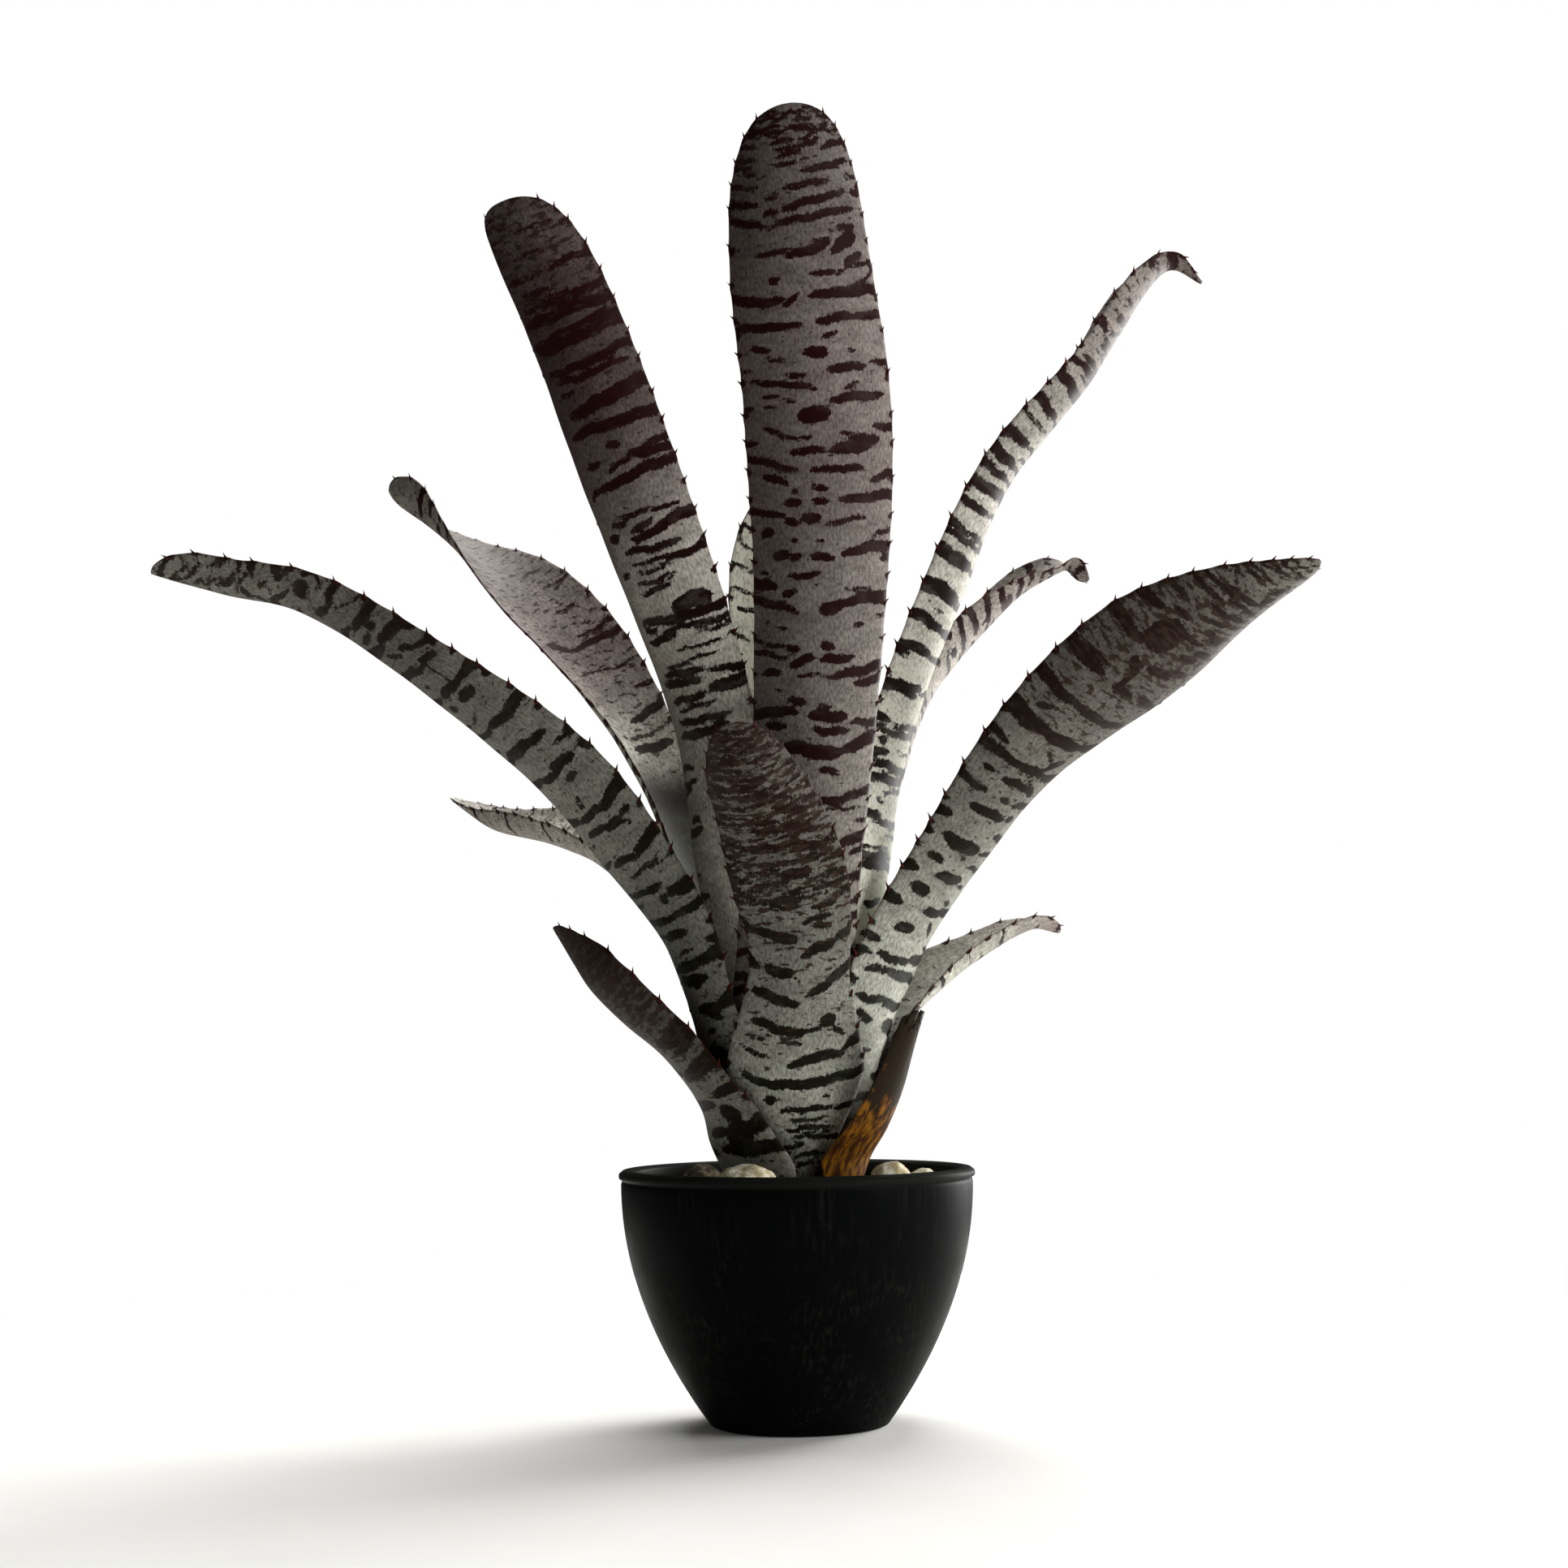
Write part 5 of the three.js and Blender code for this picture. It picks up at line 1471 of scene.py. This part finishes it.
LEFT_BACK_INNER_MARKS = (
    (207, -0.86, 0.02, 4.8, -5), (213.5, -0.62, 0.02, 1.7, -3), (216.3, -0.92, -0.58, 1.2, -1),
    (225, -0.97, -0.24, 3.8, -7), (238, -0.92, -0.64, 1.6), (251, -0.9, 0.3, 0.8, -1),
    (266.6, -0.97, 0.02, 3.3, -1), (268.2, 0, 0.5, 4.2, 3), (272.6, -0.97, -0.28, 1.9),
    (288, -0.72, -0.28, 1.3), (303.6, -0.9, -0.44, 1.3, 2), (317, -0.76, -0.38, 1.5),
)

# Where a coat gives a slant, it paints that leaf's right side paler: painted side light.
COATS = {
    "leaf_centre_tall": Coat(
        (0.44, 0.38, 0.32, 0.32, 0.32, 0.34, 0.32, 0.36, 0.25, 0.24), (0.3, 0.6, 0.8, 1.0, 0.8),
        CENTRE_TALL_MARKS,
        (Zone(8, 130, 8, (2.0, 4.2), 0.72), Zone(452, 462, 2.6, (0.9, 1.6), 0.85)),
        painted_light_slant=(0.45, 0.45), wear=(0.1, 0.1, 0.15, 0.1, 0.15, 0.3)),
    "leaf_left_tall": Coat(
        (0.75, 0.65, 0.5, 0.4, 0.68, 0.22, 0.09, 0.14), (0.2, 0.4, 0.5, 1.0, 1.0), LEFT_TALL_MARKS,
        (Zone(8, 100, 9, (2.0, 4.0), 0.7), Zone(404, 434, 3.2, (0.6, 1.1), 0.5)),
        painted_light_slant=(0.9, 0.9, 0.9, 0.9, 0.6, 0.3), wear=(0.1, 0.1, 0.1, 0.1, 0.25, 0.4)),
    # The right tall leaf's scurf runs past full near its root, partly painted light: its base is painted
    # paler, as if lit strongly from behind.
    "leaf_right_tall": Coat(
        (1.3, 1.3, 1.15, 0.62, 0.38), (0.0, 0.1, 0.4, 0.6, 1.0), RIGHT_TALL_MARKS,
        (Zone(8, 60, 10, (3.0, 6.0), 0.8),), wear=(0.05, 0.05, 0.1, 0.2, 0.35)),
    "leaf_left_arching": Coat(
        (0.22, 0.29, 0.3, 0.19, 0.3), (0.0, 0.0, 0.1, 0.3, 0.3), LEFT_ARCHING_MARKS,
        wear=(0.35, 0.25, 0.2, 0.25, 0.35)),
    "leaf_right_arching": Coat(
        (0.05, 0.1, 0.58, 0.5, 0.36, 0.28, 0.23, 0.17, 0.14, 0.18, 0.28),
        (0.0, 0.0, 0.2, 0.5, 0.4), RIGHT_ARCHING_MARKS,
        (Zone(10, 66, 9, (2.0, 4.5), 0.7), Zone(340, 360, 3.6, (0.8, 1.6), 0.8, 3)),
        wear=(0.1, 0.1, 0.15, 0.28, 0.44, 0.34)),
    "leaf_front_short": Coat(
        (0.18, 0.6, 0.42, 0.28, 0.22, 0.2, 0.12), (0.0, 0.0, 0.15, 0.5, 0.5), FRONT_SHORT_MARKS,
        (Zone(6, 24, 4, (1.0, 2.0), 0.7), Zone(132, 226, 3.4, (0.7, 1.5), 0.8, -4)),
        wear=(0.2, 0.2, 0.28, 0.39, 0.43, 0.38)),
    # The left back leaf's inner face is painted nearly bare over its lower half, painted shade where it
    # lies deep in the rosette, and held lower above it, painted shade against the light from overhead.
    "leaf_left_back": Coat(
        (0.8, 0.7, 0.55, 0.5, 0.3), (0.0, 0.0, 0.0, 0.0, 0.0, 0.3, 0.9, 1.0, 0.8, 0.7, 0.5),
        zones=(Zone(20, 400, 9, (3.0, 5.0), 0.92, -5),), wear=(0.15, 0.2, 0.32, 0.28),
        inner_scurf=(0.04,) * 10 + (0.5, 0.46, 0.38, 0.38, 0.42, 0.4, 0.36, 0.33, 0.32, 0.3, 0.28),
        inner_rows=LEFT_BACK_INNER_MARKS, inner_zones=()),
    # The left back low leaf's inner face is set near full scurf, partly painted light to make up for the
    # shade it stands in.
    "leaf_left_back_low": Coat(
        (0.8, 0.7, 0.6, 0.5, 0.4), (0.0, 0.2, 0.4, 0.5, 0.5), inner_scurf=(0.9, 0.9, 0.8, 0.6),
        zones=(Zone(20, 320, 12, (1.0, 3.0), 0.35),), wear=(0.2, 0.25, 0.3)),
    "leaf_left_low": Coat(
        (0.4, 0.4, 0.16, 0.06, 0.05), (0.0, 0.1, 0.3, 0.4, 0.4), LEFT_LOW_MARKS,
        wear=(0.2, 0.28, 0.5, 0.5), inner_scurf=(0.3, 0.1, 0.1)),
    "leaf_right_back": Coat(
        (0.9, 0.85, 0.75, 0.6, 0.3), (0.3, 0.4, 0.6, 0.7, 0.7), RIGHT_BACK_MARKS,
        (Zone(20, 216, 9, (2.0, 4.6), 0.8),), inner_zones=(Zone(60, 335, 9, (1.6, 3.2), 0.85, 5),)),
    "leaf_right_back_low": Coat(
        (0.7, 0.7, 0.6, 0.6, 0.5), (0.0, 0.0, 0.0, 0.3, 1.0),
        zones=(Zone(20, 180, 12, (1.0, 2.4), 0.4),), wear=(0.3, 0.42, 0.2, 0.1),
        inner_scurf=(0.25, 0.3, 0.5, 0.6), inner_zones=()),
    # The back leaf's inner face is held past full scurf, partly painted light for the light it gets little
    # of behind the other leaves.
    "leaf_back": Coat(
        (0.9, 0.85, 0.75, 0.6, 0.4), (0.0, 0.0, 0.0, 0.1, 0.5), inner_scurf=(1.3, 1.3, 1.3, 1.0),
        zones=(Zone(20, 365, 9, (2.5, 5.0), 0.8),), inner_zones=(Zone(60, 360, 8, (1.0, 2.4), 0.6),)),
    "leaf_heart": Coat(
        (0.8, 0.8, 0.6, 0.5), (0.2, 0.3, 0.5, 0.7),
        zones=(Zone(20, 180, 8, (2.0, 4.0), 0.7),)),
    "leaf_dead_stub": Coat((0.3, 0.2), (0.0, 0.0, 0.4, 0.8), inner_zones=()),
}

DARK_LEAVES = ("leaf_left_low",)
DEAD_LEAVES = ("leaf_dead_stub",)


@dataclass
class Plant:
    """The rosette: every leaf of FORMS in its coat."""

    living: bpy.types.Material
    dead: bpy.types.Material

    def build(self) -> None:
        """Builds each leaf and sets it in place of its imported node."""
        for seed, form in enumerate(FORMS, start=11):
            if form.name in DEAD_LEAVES:
                leaf = Leaf(form, COATS[form.name], seed, "dead_leaf", None, torn=6.0)
                piece = leaf.build(self.dead)
            else:
                slot = "dark_leaf" if form.name in DARK_LEAVES else "leaf"
                leaf = Leaf(form, COATS[form.name], seed, slot)
                piece = leaf.build(self.living)
            settle(piece, form.name)


@dataclass
class PottedBed:
    """The pot, its soil, the stem and the stones."""

    pot: NurseryPot = field(default_factory=NurseryPot)

    def build(self) -> None:
        """Builds the pot, the soil and the stones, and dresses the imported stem."""
        settle(self.pot.build(MouldedPot().build()), "pot")
        bark = GroundMatter("bark_and_peat", "#3a2c20", "#130e0a", (2.5, 2.5, 2.5), 1.2, 0.9, 0.6)
        settle(SoilBed(self.pot).build(bark.build()), "soil")
        fibrous = GroundMatter("fibrous_stem", "#6a573a", "#2b2115", (1.0, 1.0, 14.0), 1.5, 0.85, 0.5)
        stem = frame["nodes"]["stem"]
        stem.data.materials.clear()
        stem.data.materials.append(fibrous.build())
        LOG.info("%s: dressed as it is packed", stem.name)
        grain = (4.0, 4.0, 4.0)
        cream = GroundMatter("cream_limestone", "#f0ead2", "#b8a878", grain, 1.1, 0.8, 0.4)
        brown = GroundMatter("brown_flint", "#7d7058", "#3c3426", grain, 1.1, 0.75, 0.4)
        finishes = {"cream_stone": cream.build(), "brown_stone": brown.build()}
        slots = {row["node"]: row["material_slot"] for row in frame["record"]["subparts"]}
        for node in sorted(name for name in frame["nodes"] if name.startswith("stone_")):
            settle(Pebble(node).build(finishes[slots[node]]), node)


def main() -> None:
    """Builds the studio, the potted bed and the plant, in that order."""
    logging.basicConfig(level=logging.INFO, format="%(name)s: %(message)s")
    Studio().build()
    PottedBed().build()
    Plant(ScurfedLeaf().build(), DryLeaf().build()).build()


if __name__ == "__main__":
    main()
